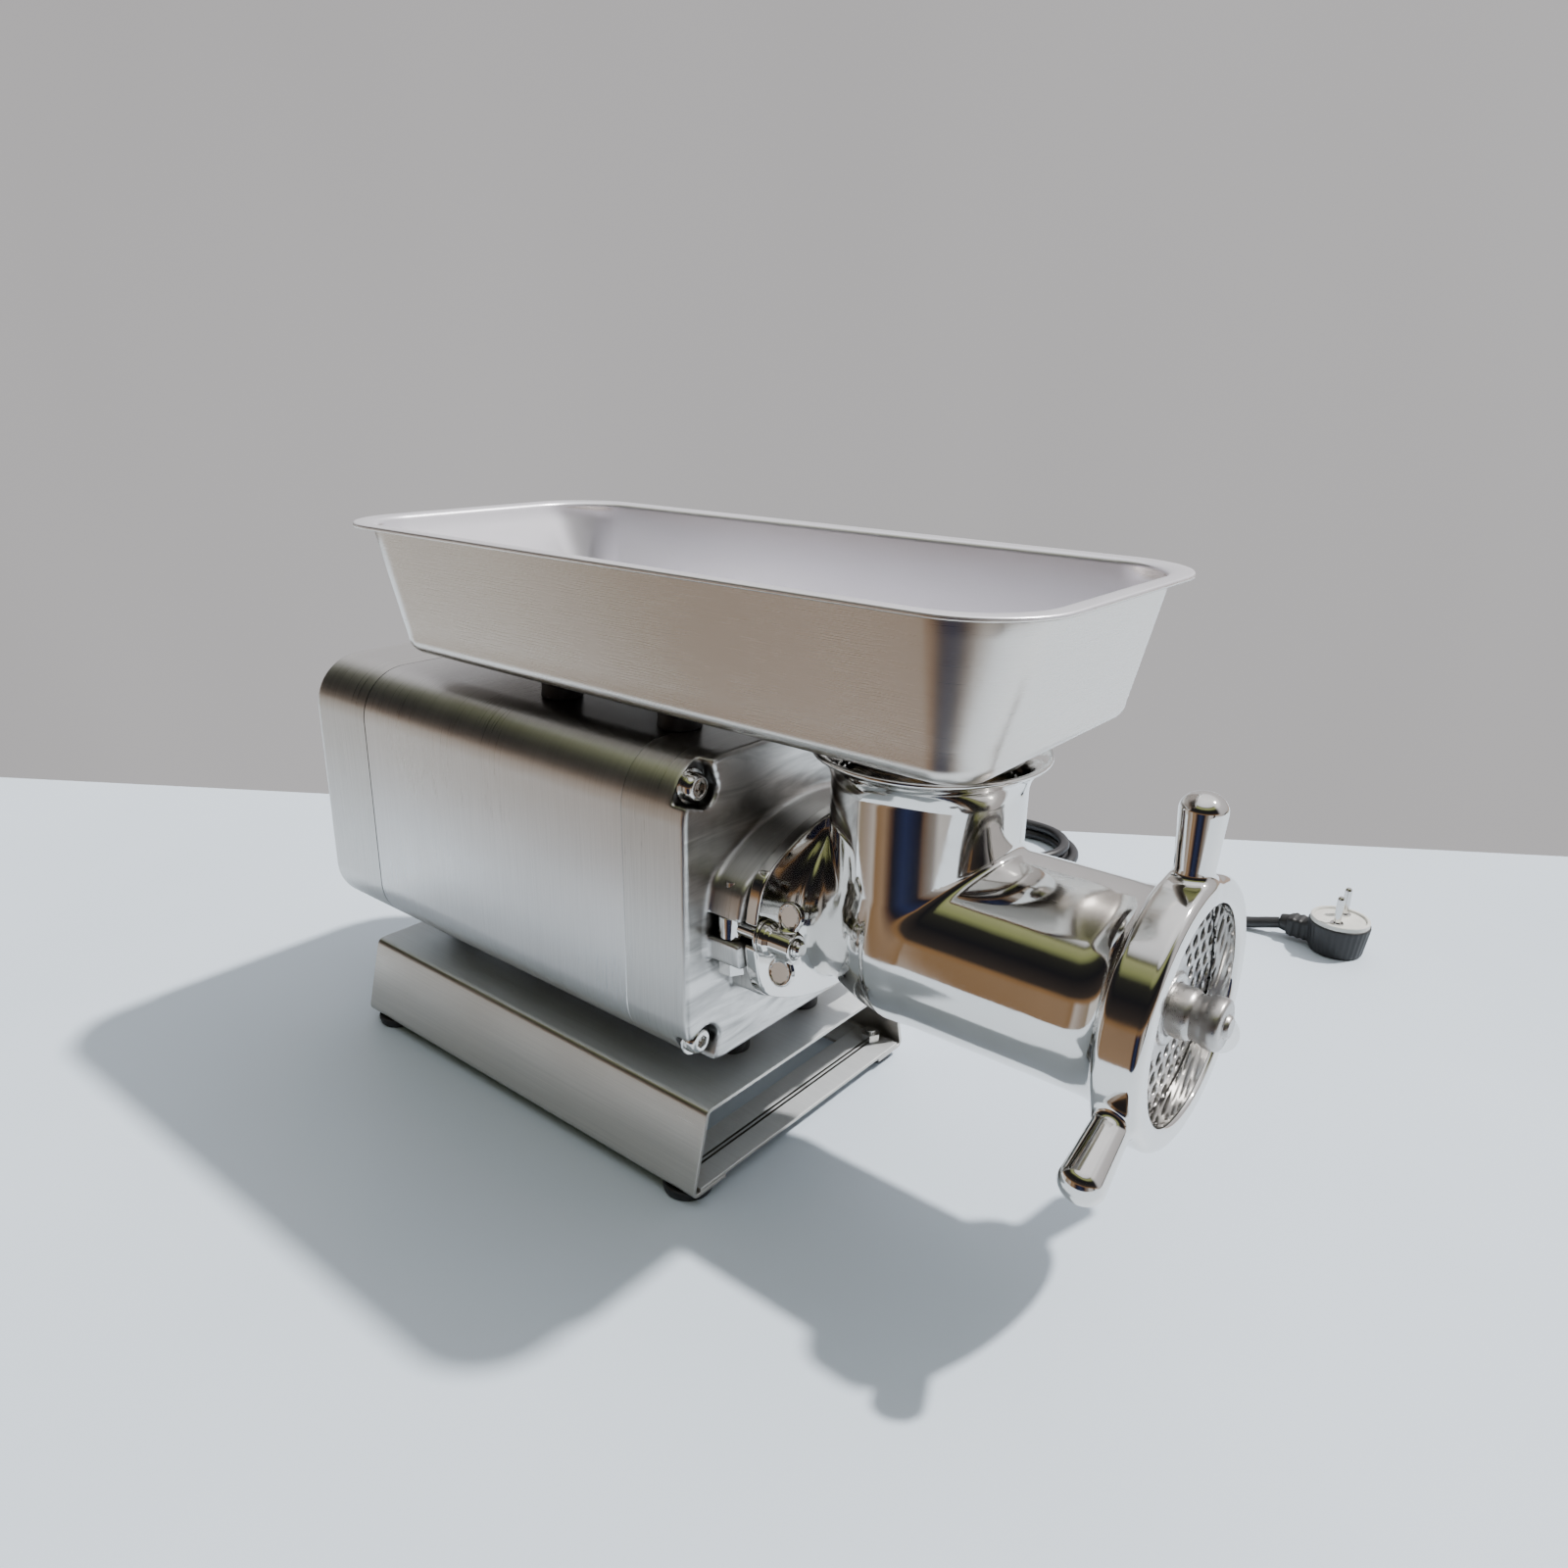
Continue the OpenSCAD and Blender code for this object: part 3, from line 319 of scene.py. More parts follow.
def cast_satin(name, color):
    """Satin cast face with streaks, ground sides that match the shell, and painted shade in the screw
    pockets, in crevices and under other pieces.
    """
    s = Shader(name, color, 1.0, 0.34)
    streaks = s.noise((40, 14, 90), 4.0, 0.62, 1.2)
    cloud = s.noise((13, 13, 13), 4.0, 0.6, 0.6, (4, 4, 1))
    grit = s.noise((1500, 1500, 1500), 2.0, 0.6)
    lines = s.noise((1000.0 / 0.7, 22, 22), 4.0, 0.6)
    facing = s.ramp(s.math("ABSOLUTE", s.normal_axis(0)), 0, 1, 0.45, 0.8)
    dark, light = scaled(color, 0.5), scaled(color, 1.06)
    stained = s.math("MULTIPLY", streaks, s.math("ADD", cloud, 0.5))
    face = s.mix(s.ramp(stained, 0, 1, 0.30, 0.62), dark, light)
    side = s.mix(s.ramp(lines, 0, 1), scaled(color, 0.88), light)
    pockets = s.pocket_shade_mask()
    # Painted shade: crevices and spots under other pieces within 14 mm darken towards 28% of the colour.
    finish_with_shade = s.mix(s.open_sky(14.0, 0.25, 0.75), scaled(color, 0.28), s.mix(facing, side, face))
    # Painted shade: the screw pockets darken to 16% of the colour.
    s.color(s.mix(pockets, finish_with_shade, scaled(color, 0.16)))
    face_rough = s.math("ADD", s.ramp(cloud, 0.26, 0.42), s.ramp(grit, 0.0, 0.05))
    face_rough = s.math("ADD", face_rough, s.math("MULTIPLY", pockets, 0.15))
    s.roughness(s.blend(facing, s.ramp(lines, 0.27, 0.37), face_rough))
    s.bump(s.math("ADD", s.math("MULTIPLY", grit, 0.4), s.math("MULTIPLY", lines, 0.6)), 0.02, 0.3)
    return s.material


def plain_metal(name, color, roughness=0.3, grain=600.0):
    """Turned or stamped metal with fine scratches and slightly duller patches."""
    s = Shader(name, color, 1.0, roughness)
    scratch = s.noise((grain, grain * 0.2, grain), 4.0, 0.6, 0.5)
    patch = s.noise((60, 60, 60), 3.0, 0.6, 0.3, (1, 5, 2))
    s.color(s.mix(s.ramp(patch, 0, 1), color, scaled(color, 0.8)))
    s.roughness(s.math("ADD", s.ramp(scratch, roughness * 0.7, roughness * 1.1), s.ramp(patch, 0.0, 0.08)))
    s.bump(scratch, 0.01, 0.3)
    return s.material


def moulded(name, color, roughness=0.5, grain_mm=0.5, depth=0.03):
    """Moulded rubber or plastic with a fine grain and a little dust."""
    s = Shader(name, color, 0.0, roughness)
    grain = s.noise((1000 / grain_mm,) * 3, 2.0, 0.6)
    dust = s.noise((35, 35, 35), 4.0, 0.65, 0.5, (3, 3, 8))
    pale = tuple(min(1.0, c * 1.35 + 0.012) for c in color)
    s.color(s.mix(s.ramp(dust, 0, 1, 0.45, 0.8), color, pale))
    s.roughness(s.ramp(dust, roughness * 0.85, min(1.0, roughness * 1.25)))
    s.bump(grain, depth, 0.4)
    return s.material


def striped(name, roughness, dark, light, scale, depth_mm, strength, distort=0.0, **kind):
    """Close ridges, such as turns of wire or stacked sheets seen edge on."""
    s = Shader(name, light, 1.0, roughness)
    wave = s.add("TexWave", {"Vector": s.place, "Scale": scale, "Distortion": distort}, **kind)
    stripes = wave.outputs["Fac"]
    s.color(s.mix(stripes, dark, light))
    s.bump(stripes, depth_mm, strength)
    return s.material


MATERIALS = {
    # Shell: painted shade, darkened to 35% within 60 mm of other pieces, as under the tray.
    "brushed_body": brushed_steel("brushed_body", (0.72, 0.71, 0.70), (1, 2), (0.24, 0.36), 0.4, 30.0, 0.1,
                                  None, (60.0, 0.35)),
    # Base: the pale blue-grey on faces that look up is a painted sky reflection, and near other pieces it has
    # painted shade.
    "base_steel": brushed_steel("base_steel", (0.62, 0.59, 0.54), (0,), (0.26, 0.4), 0.4, 50.0, 0.12,
                                ((0.80, 0.83, 0.85), 0.16, 0.6, 0.8), (18.0, 0.6)),
    # Tray: the pale lilac-white on faces that look up is a painted sky reflection.
    "tray_steel": brushed_steel("tray_steel", (0.68, 0.64, 0.595), (0, 1), (0.22, 0.3), 0.25, 25.0, 0.025,
                                ((0.9, 0.89, 0.94), 0.06, 0.76, 0.04)),
    "polished": polished_steel("polished", (0.74, 0.725, 0.70)),
    "cast_alu": cast_satin("cast_alu", (0.66, 0.65, 0.63)),
    "plate_steel": plain_metal("plate_steel", (0.62, 0.61, 0.6), 0.3, 900.0),
    "stud_steel": plain_metal("stud_steel", (0.5, 0.48, 0.46), 0.3, 1500.0),
    "lead_sheath": moulded("lead_sheath", (0.015, 0.015, 0.017), 0.4, 0.35, 0.015),
    "fastener": polished_steel("fastener", (0.7, 0.69, 0.67), (0.1, 0.2), 0.05),
    "gear_steel": plain_metal("gear_steel", (0.42, 0.42, 0.44), 0.28),
    "lamination": striped("lamination", 0.45, (0.16, 0.15, 0.15), (0.42, 0.42, 0.44), 320, 0.1, 0.5),
    "copper": striped("copper", 0.35, (0.42, 0.15, 0.06), (0.83, 0.42, 0.2), 180, 0.3, 0.6, 1.5,
                      wave_type="RINGS"),
    "bronze": plain_metal("bronze", (0.6, 0.42, 0.2), 0.35),
    "black_rubber": moulded("black_rubber", (0.012, 0.012, 0.013), 0.5),
    "seal_rubber": moulded("seal_rubber", (0.16, 0.07, 0.04), 0.55),
    "black_plastic": moulded("black_plastic", (0.02, 0.02, 0.021), 0.42, 0.8),
    "grey_plastic": moulded("grey_plastic", (0.62, 0.62, 0.58), 0.4, 0.8),
    "green_plastic": moulded("green_plastic", (0.02, 0.3, 0.09), 0.22, 1.5, 0.01),
    "red_plastic": moulded("red_plastic", (0.5, 0.02, 0.015), 0.22, 1.5, 0.01),
}


def paint_cad_nodes():
    """Gives every CAD node the material of its record slot."""
    slots = {entry["node"]: entry["material_slot"] for entry in frame["record"]["subparts"]}
    for name, node in frame["nodes"].items():
        node.data.materials.clear()
        node.data.materials.append(MATERIALS[slots[name]])


paint_cad_nodes()

# ---------------------------------------------------------------- mesh helpers


def add_piece(name, points_mm, faces, slot, body, nodes=(), smooth_angle=None, normals=None):
    """Makes a mesh object from millimetre points, and attaches it to its body."""
    mesh = bpy.data.meshes.new(name)
    mesh.from_pydata((np.asarray(points_mm, float) * MM).tolist(), [], [list(f) for f in faces])
    mesh.validate()
    mesh.polygons.foreach_set("use_smooth", [True] * len(mesh.polygons))
    if smooth_angle is not None:
        mesh.set_sharp_from_angle(angle=math.radians(smooth_angle))
    if normals is not None and len(normals) == len(mesh.vertices):
        mesh.normals_split_custom_set_from_vertices(normals.tolist())
    mesh.materials.append(MATERIALS[slot])
    piece = scene_object(name, mesh)
    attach(piece, body)
    if nodes:
        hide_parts(*nodes)
    return piece


def refinish(piece, look):
    """Gives a piece a surface of its own within its record slot."""
    piece.data.materials[0] = MATERIALS[look]


def lathe(profile, segments, center, axis):
    """Points and faces of a [radius, along] profile turned round an axis through center.

    A third value makes that ring a hexagon with this radius across its flats.
    """
    axis = Vector(axis).normalized()
    side = axis.orthogonal().normalized()
    other = axis.cross(side)
    center = Vector(center)
    points, faces, rings = [], [], []
    for radius, along, *six in profile:
        if radius < 1e-6:
            rings.append([len(points)] * segments)
            points.append(center + axis * along)
            continue
        rings.append(list(range(len(points), len(points) + segments)))
        for k in range(segments):
            a = 2 * math.pi * k / segments
            r = radius / math.cos((a + math.pi / 6) % (math.pi / 3) - math.pi / 6) if six else radius
            points.append(center + axis * along + r * (math.cos(a) * side + math.sin(a) * other))
    for low, high in zip(rings, rings[1:]):
        for k in range(segments):
            j = (k + 1) % segments
            corner = [low[k], low[j], high[j], high[k]]
            face = [v for i, v in enumerate(corner) if v not in corner[:i]]
            if len(face) > 2:
                faces.append(face)
    return [tuple(p) for p in points], faces


def arc(center, radius, start, end, steps):
    """Points of a circular arc, angles in degrees."""
    return [(center[0] + radius * math.cos(math.radians(start + (end - start) * i / steps)),
             center[1] + radius * math.sin(math.radians(start + (end - start) * i / steps)))
            for i in range(steps + 1)]


def add_shapes(name, shapes, slot, body, nodes=(), smooth_angle=30):
    """One piece from several (points, faces) shapes."""
    points, faces = [], []
    for shape_points, shape_faces in shapes:
        start = len(points)
        points += shape_points
        faces += [[v + start for v in f] for f in shape_faces]
    return add_piece(name, points, faces, slot, body, nodes, smooth_angle)


# ---------------------------------------------------------------- solid shapes as distance fields


def smooth_min(a, b, k):
    """Union of two distances with a fillet about k wide."""
    h = np.maximum(k - np.abs(a - b), 0) / k
    return np.minimum(a, b) - h * h * k * 0.25


def smooth_max(a, b, k):
    return -smooth_min(-a, -b, k)


def cut(a, b, k=0.8):
    """a with b taken away."""
    return smooth_max(a, -b, k)


def slab(x, low, high):
    """Distance to the layer between low and high."""
    return np.abs(x - (low + high) / 2) - (high - low) / 2


def extrude(outline, height, r=0.0):
    """Solid from a 2-D distance and a slab distance, with its edges rounded to r."""
    a, b = outline + r, height + r
    return np.minimum(np.maximum(a, b), 0) + np.hypot(np.maximum(a, 0), np.maximum(b, 0)) - r


def rounded_rect(u, v, half_u, half_v, r):
    return extrude(np.abs(u) - half_u, np.abs(v) - half_v, r)


def box_field(p, center, half, r=0.5):
    """Box with rounded edges."""
    d = np.abs(p - np.array(center)) - np.array(half) + r
    return np.linalg.norm(np.maximum(d, 0), axis=1) + np.minimum(d.max(axis=1), 0) - r


def rod_x(p, y, z, radius, low, high, r=0.5):
    """Cylinder along X."""
    return extrude(np.hypot(p[:, 1] - y, p[:, 2] - z) - radius, slab(p[:, 0], low, high), r)


def field_grid(field, low, counts, step, block=4):
    """Values of a distance field on a grid, exact near the surface and coarse away from it."""
    coarse_axes = [low[i] + step * (block * np.arange(counts[i] // block) + (block - 1) / 2)
                   for i in range(3)]
    centers = np.stack(np.meshgrid(*coarse_axes, indexing="ij"), -1).reshape(-1, 3)
    coarse = field(centers).reshape([c // block for c in counts])
    fine = coarse.repeat(block, 0).repeat(block, 1).repeat(block, 2)
    near = np.abs(fine) < step * block * 1.3
    fine[near] = field(low + step * np.argwhere(near))
    return fine


def net_surface(values, low, step):
    """Closed quad mesh of the zero level of a grid of distances, one point per crossed cell."""
    inside = values < 0
    shape = np.array(values.shape) - 1
    corner = {}
    for at in itertools.product((0, 1), repeat=3):
        corner[at] = tuple(slice(d, d + n) for d, n in zip(at, shape))
    count = sum(inside[c].astype(np.int8) for c in corner.values())
    active = (count > 0) & (count < 8)
    cells = np.argwhere(active)
    total = np.zeros((len(cells), 3))
    hits = np.zeros(len(cells))
    for first in corner:
        for axis in range(3):
            if first[axis]:
                continue
            second = tuple(1 if i == axis else first[i] for i in range(3))
            a = values[corner[first]][active]
            b = values[corner[second]][active]
            crossing = (a < 0) != (b < 0)
            t = np.where(crossing, a / np.where(crossing, a - b, 1), 0)
            point = np.array(first, float)[None, :].repeat(len(cells), 0)
            point[:, axis] += t
            total[crossing] += point[crossing]
            hits[crossing] += 1
    points = low + step * (cells + total / hits[:, None])
    number = np.full(active.shape, -1, np.int64)
    number[active] = np.arange(len(cells))
    quads = []
    for axis in range(3):
        a, b = (axis + 1) % 3, (axis + 2) % 3
        ahead = [slice(None)] * 3
        ahead[axis] = slice(1, None)
        behind = [slice(None)] * 3
        behind[axis] = slice(0, -1)
        flips = inside[tuple(ahead)] != inside[tuple(behind)]
        for index, leaving in ((np.argwhere(flips & inside[tuple(behind)]), True),
                               (np.argwhere(flips & ~inside[tuple(behind)]), False)):
            keep = ((index[:, a] > 0) & (index[:, b] > 0)
                    & (index[:, a] < shape[a]) & (index[:, b] < shape[b]))
            index = index[keep]
            ring = []
            for da, db in ((-1, -1), (0, -1), (0, 0), (-1, 0)):
                at = index.copy()
                at[:, a] += da
                at[:, b] += db
                ring.append(number[at[:, 0], at[:, 1], at[:, 2]])
            ring = np.stack(ring, 1)
            quads.append(ring if leaving else ring[:, ::-1])
    return points, np.concatenate(quads)


def field_slope(field, points, reach=0.02):
    """Gradient of a distance field."""
    slope = np.zeros_like(points)
    for axis in range(3):
        offset = np.zeros(3)
        offset[axis] = reach
        slope[:, axis] = (field(points + offset) - field(points - offset)) / (2 * reach)
    return slope


def solid_from_field(field, low, high, step):
    """Points, quads and normals of a distance field's surface, with the points moved onto it."""
    low = np.asarray(low, float) - 2 * step
    span = (np.asarray(high, float) + 2 * step - low) / step
    counts = [int(math.ceil(n / 4) + 1) * 4 for n in span]
    points, quads = net_surface(field_grid(field, low, counts, step), low, step)
    for _ in range(3):
        slope = field_slope(field, points)
        size = np.maximum((slope * slope).sum(1), 0.2)
        move = -slope * (field(points) / size)[:, None]
        length = np.linalg.norm(move, axis=1)
        points = points + move * np.minimum(1, 0.6 * step / np.maximum(length, 1e-9))[:, None]
    normals = field_slope(field, points)
    normals /= np.maximum(np.linalg.norm(normals, axis=1), 1e-9)[:, None]
    return points, quads, normals


def add_field_piece(name, field, low, high, step, slot, body, nodes=()):
    points, quads, normals = solid_from_field(field, low, high, step)
    return add_piece(name, points, quads.tolist(), slot, body, nodes, None, normals)


# ---------------------------------------------------------------- grinding head

LENS_ARC_R, LENS_ARC_SHIFT = 112, 66
THROAT_R, THROAT_BORE_R = 42.5, 38.5
ELBOW_R = 44.7
# Bores along the barrel's axis: radius, start and end.
HEAD_BORES = [
    (40.5, FACE_X + 56, RING_X0 + 20),
    (30, FACE_X + 43, FACE_X + 58),
    (18, FACE_X + 25, FACE_X + 45),
    (24, FACE_X + 9, FACE_X + 27),
    (48.8, RING_X0 - 0.5, RING_X0 + 20),
]


def throat_field(p):
    """Upright tube that flares into a thin lip; its wall is a thick line round the throat's axis."""
    radius = np.hypot(p[:, 0] - THROAT_X, p[:, 1])
    z = p[:, 2]
    wall_r, bend_z, bend_r, bend_end = 40.5, RIM_Z - 18.5, 18.0, 63.0
    thick = 2.0 - 0.75 * np.clip((z - bend_z) / 17, 0, 1)
    straight = np.abs(radius - wall_r)
    dr, dz = radius - (wall_r + bend_r), z - bend_z
    angle = np.degrees(np.arctan2(dz, -dr))
    end_r = wall_r + bend_r - bend_r * math.cos(math.radians(bend_end))
    end_z = bend_z + bend_r * math.sin(math.radians(bend_end))
    curved = np.where(angle < bend_end, np.abs(np.hypot(dr, dz) - bend_r),
                      np.hypot(radius - end_r, z - end_z))
    return np.where(z < bend_z, straight, curved) - thick


def lens_outline(y, z, end_r):
    """Outline of the hub and of the head's flange: two wide arcs and two rounded ends."""
    arcs = smooth_max(np.hypot(y, z - LENS_ARC_SHIFT) - LENS_ARC_R,
                      np.hypot(y, z + LENS_ARC_SHIFT) - LENS_ARC_R, 3)
    return smooth_max(arcs, np.hypot(y, z) - end_r, 3)


def barrel_outer(p):
    """Outside of the barrel: a long tube with a flared shoulder in front of the ring."""
    radius = np.hypot(p[:, 1], p[:, 2] - AXIS_Z)
    flare = np.clip((p[:, 0] - (RING_X0 - 15)) / 15, 0, 1)
    swell = 44.9 + 5.6 * (1 - np.sqrt(1 - 0.96 * flare * flare)) / 0.8
    return extrude((radius - swell) * 0.8, slab(p[:, 0], THROAT_X, RING_X0 + 7), 0.6)


def head_field(p):
    y, z = p[:, 1], p[:, 2] - AXIS_Z
    radius = np.hypot(y, z)
    throat_r = np.hypot(p[:, 0] - THROAT_X, y)
    core = extrude(throat_r - THROAT_R, slab(p[:, 2], AXIS_Z, RIM_Z - 16), 0.5)
    elbow = np.sqrt((p[:, 0] - THROAT_X) ** 2 + radius ** 2) - ELBOW_R
    outer = smooth_min(core, elbow, 5)
    outer = smooth_min(outer, barrel_outer(p), 3.0)
    neck_r = 36 + 3.0 * np.clip((HUB_X + 20 - p[:, 0]) / 14, 0, 1) ** 2
    outer = smooth_min(outer, extrude(radius - neck_r, slab(p[:, 0], HUB_X + 1, THROAT_X), 0.5), 7)
    flange = extrude(lens_outline(y, z - 2, 67.5), slab(p[:, 0], HUB_X + 0.05, HUB_X + 7), 1.2)
    across = z - (BOLT_Z - AXIS_Z)
    slot = extrude(np.where(np.abs(y) > PIN_Y, np.abs(across), np.hypot(np.abs(y) - PIN_Y, across)) - 5,
                   slab(p[:, 0], HUB_X - 5, HUB_X + 12))
    outer = smooth_min(outer, cut(flange, slot, 1.0), 3)
    outer = np.minimum(outer, rod_x(p, 0, AXIS_Z, 33.9, FACE_X + 11.5, HUB_X + 2))
    dimple = np.sqrt((p[:, 0] - THROAT_X - 2) ** 2 + (y + 12) ** 2 + (p[:, 2] - AXIS_Z + 45.5) ** 2) - 4.2
    outer = cut(outer, dimple, 0.8)
    hollow = smooth_max(throat_r - THROAT_BORE_R, AXIS_Z - p[:, 2], 0.5)
    for bore_r, start, end in HEAD_BORES:
        hollow = np.minimum(hollow, rod_x(p, 0, AXIS_Z, bore_r, start, end))
    solid = cut(outer, hollow, 0.6)
    return np.minimum(solid, smooth_max(throat_field(p), AXIS_Z + 46 - p[:, 2], 0.5))


def add_head():
    add_field_piece("grinder_head_cast", head_field, (FACE_X + 11, -68, AXIS_Z - 68),
                    (RING_X0 + 8, 68, RIM_Z), 1.1, "polished", "root", ("grinder_head",))


# ---------------------------------------------------------------- ring nut

RING_R, RING_MOUTH_R, RING_SEAT_R = 56, 45, 51.85
LUG_TURNS = (2.0, 122.0, 242.0)
LUG_TIP = 89.5


def ring_field(p):
    y, z = p[:, 1], p[:, 2] - AXIS_Z
    radius = np.hypot(y, z)
    body = extrude(radius - RING_R, slab(p[:, 0], RING_X0, RING_X1), 4.0)
    mid = RING_X0 + 10.0
    lugs = None
    for turn in LUG_TURNS:
        a = math.radians(turn)
        along = y * math.sin(a) + z * math.cos(a)
        across = y * math.cos(a) - z * math.sin(a)
        thick = 7.3 + 1.9 * np.clip((along - 54) / 30, 0, 1)
        ball = LUG_TIP - 7.6
        end = np.maximum(along - ball, 0)
        lug = np.sqrt((p[:, 0] - mid) ** 2 + across ** 2 + end ** 2 * (9.2 / (LUG_TIP - ball)) ** 2) - thick
        lug = smooth_max(lug * 0.85, 50 - along, 1)
        lugs = lug if lugs is None else np.minimum(lugs, lug)
    body = smooth_min(body, lugs, 4.0)
    mouth = rod_x(p, 0, AXIS_Z, RING_MOUTH_R, RING_X0 - 5, RING_X1 + 5)
    seat = rod_x(p, 0, AXIS_Z, RING_SEAT_R, RING_X0 - 5, RING_X0 + 9.3)
    return cut(body, np.minimum(mouth, seat), 2.2)


def add_ring():
    low = (RING_X0 - 1, -LUG_TIP, AXIS_Z - LUG_TIP)
    high = (RING_X1 + 1, LUG_TIP, AXIS_Z + LUG_TIP)
    add_field_piece("ring_nut_cast", ring_field, low, high, 1.0, "polished", "ring", ("ring_nut",))


# ---------------------------------------------------------------- cast covers

SEAM_FRONT = shell_high[0] + 0.4
SEAM_REAR = shell_low[0] - 0.4
COVER_WALL = 8
FRONT_POST_R, REAR_POST_R = 14, 12
POCKET_R, RECESS_R = 9.0, 8
POCKET_DEEP = 8.5
REAR_INSET = 8.0
VENT_STEP, VENT_HALF_W, VENT_HALF_H = 11, 40, 2.2
GLAND_HOLE_R = 8.1


def pockets_field(p):
    """Corner pockets for the front cover's screws, open towards both nearest edges."""
    u = np.abs(p[:, 1]) - SCREW_Y
    v = np.abs(p[:, 2] - BODY_CZ) - SCREW_Z
    a = -u + 0.32 * np.maximum(v, 0)
    b = -v + 0.32 * np.maximum(u, 0)
    outline = extrude(a, b) - POCKET_R
    return extrude(outline, slab(p[:, 0], FACE_X - POCKET_DEEP, FACE_X + 6), 1.5)


def screw_distance(p, inset):
    """Distance from the nearest corner screw's axis."""
    return np.hypot(np.abs(p[:, 1]) - SCREW_Y + inset, np.abs(p[:, 2] - BODY_CZ) - SCREW_Z + inset)


def cover_body(p, low, high, wall, open_low, posts):
    """Rounded box with an opening towards the shell and posts for the corner screws."""
    y, z = p[:, 1], p[:, 2] - BODY_CZ
    outer = rounded_rect(y, z, BODY_HALF_W, BODY_HALF_H, BODY_R)
    solid = extrude(outer, slab(p[:, 0], low, high), 1.8)
    inner_low, inner_high = (low - 20, high - wall) if open_low else (low + wall, high + 20)
    inner = extrude(outer + 6, slab(p[:, 0], inner_low, inner_high), 2)
    return cut(solid, smooth_max(inner, -posts, 2), 0.6)


def front_cover_field(p):
    y, z = p[:, 1], p[:, 2] - AXIS_Z
    solid = cover_body(p, SEAM_FRONT - 12, FACE_X, COVER_WALL, True, screw_distance(p, 0) - FRONT_POST_R)
    hub = extrude(lens_outline(y, z, 70.5), slab(p[:, 0], FACE_X - 4, HUB_X), 1.6)
    solid = smooth_min(solid, hub, 4.0)
    solid = cut(solid, pockets_field(p), 1.2)
    side = np.abs(y)
    high = p[:, 2] - BOLT_Z
    slot = extrude(rounded_rect(side - 73.5, high, 20, 5.6, 1.0),
                   slab(p[:, 0], FACE_X + 0.5, HUB_X + 8), 0.6)
    notch = extrude(rounded_rect(side - 74.5, high + 35.5, 20, 18.5, 3),
                    slab(p[:, 0], FACE_X + 0.2, HUB_X + 8), 0.6)
    solid = cut(solid, np.minimum(slot, notch), 1.0)
    bore = np.minimum(rod_x(p, 0, AXIS_Z, 34, FACE_X + 11, HUB_X + 5),
                      rod_x(p, 0, AXIS_Z, 25, FACE_X - 12, HUB_X))
    return cut(solid, bore, 0.6)


def rear_cover_field(p):
    from_screw = screw_distance(p, REAR_INSET)
    solid = cover_body(p, REAR_X, SEAM_REAR + 12, COVER_WALL, False, from_screw - REAR_POST_R)
    recess = extrude(from_screw - RECESS_R, slab(p[:, 0], REAR_X - 6, REAR_X + POCKET_DEEP), 0.5)
    solid = cut(solid, recess, 0.8)
    for i in range(-3, 4):
        z = p[:, 2] - BODY_CZ - i * VENT_STEP
        slot = extrude(rounded_rect(p[:, 1], z, VENT_HALF_W, VENT_HALF_H, 2.1),
                       slab(p[:, 0], REAR_X - 5, REAR_X + 15))
        solid = cut(solid, slot, 1.2)
    window = box_field(p, (GLAND_X, BODY_HALF_W, SWITCH_Z), (13, 15, 24), 1.5)
    hole = extrude(np.hypot(p[:, 0] - GLAND_X, p[:, 2] - GLAND_Z) - GLAND_HOLE_R,
                   slab(p[:, 1], BODY_HALF_W - 20, BODY_HALF_W + 20))
    return cut(solid, np.minimum(window, hole), 0.8)


def bisected(points, faces, at_x, keep_above):
    """Cuts a mesh with the plane X = at_x, in millimetres, and closes the cut."""
    work = bmesh.new()
    made = [work.verts.new(q) for q in points]
    for f in faces:
        work.faces.new([made[v] for v in f])
    cut_made = bmesh.ops.bisect_plane(work, geom=work.verts[:] + work.edges[:] + work.faces[:],
                                      plane_co=(at_x, 0, 0), plane_no=(1, 0, 0),
                                      clear_outer=not keep_above, clear_inner=keep_above)
    rim = [e for e in cut_made["geom_cut"] if isinstance(e, bmesh.types.BMEdge)]
    bmesh.ops.triangle_fill(work, edges=rim, use_beauty=False)
    bmesh.ops.recalc_face_normals(work, faces=work.faces[:])
    work.verts.index_update()
    kept = [tuple(v.co) for v in work.verts]
    kept_faces = [[v.index for v in f.verts] for f in work.faces]
    work.free()
    return kept, kept_faces


def add_cover(node, field, low_x, high_x, seam, keep_above):
    low = (low_x, -BODY_HALF_W, BODY_LOW)
    high = (high_x, BODY_HALF_W, BODY_HIGH)
    points, quads, _ = solid_from_field(field, low, high, 1.2)
    points, faces = bisected(points.tolist(), quads.tolist(), seam, keep_above)
    add_piece(node + "_cast", points, faces, "cast_alu", "root", (node,), 50)


def add_covers():
    add_cover("front_cover", front_cover_field, SEAM_FRONT - 3, HUB_X + 1, SEAM_FRONT, True)
    add_cover("rear_cover", rear_cover_field, REAR_X - 1, SEAM_REAR + 3, SEAM_REAR, False)


def rect_loop(half_u, half_v, r, corner_steps=14):
    """Points round a rounded rectangle, starting at the middle of a corner's arc start."""
    loop = []
    for cu, cv, start in ((1, 1, 0), (-1, 1, 90), (-1, -1, 180), (1, -1, 270)):
        loop += arc((cu * (half_u - r), cv * (half_v - r)), r, start, start + 90, corner_steps)
    return loop


def bridge(first, second):
    """Quads between two closed rings of indices."""
    n = len(first)
    return [[first[i], first[(i + 1) % n], second[(i + 1) % n], second[i]] for i in range(n)]


def appended(points, more):
    """Adds points to a list and returns their numbers."""
    start = len(points)
    points += more
    return list(range(start, len(points)))


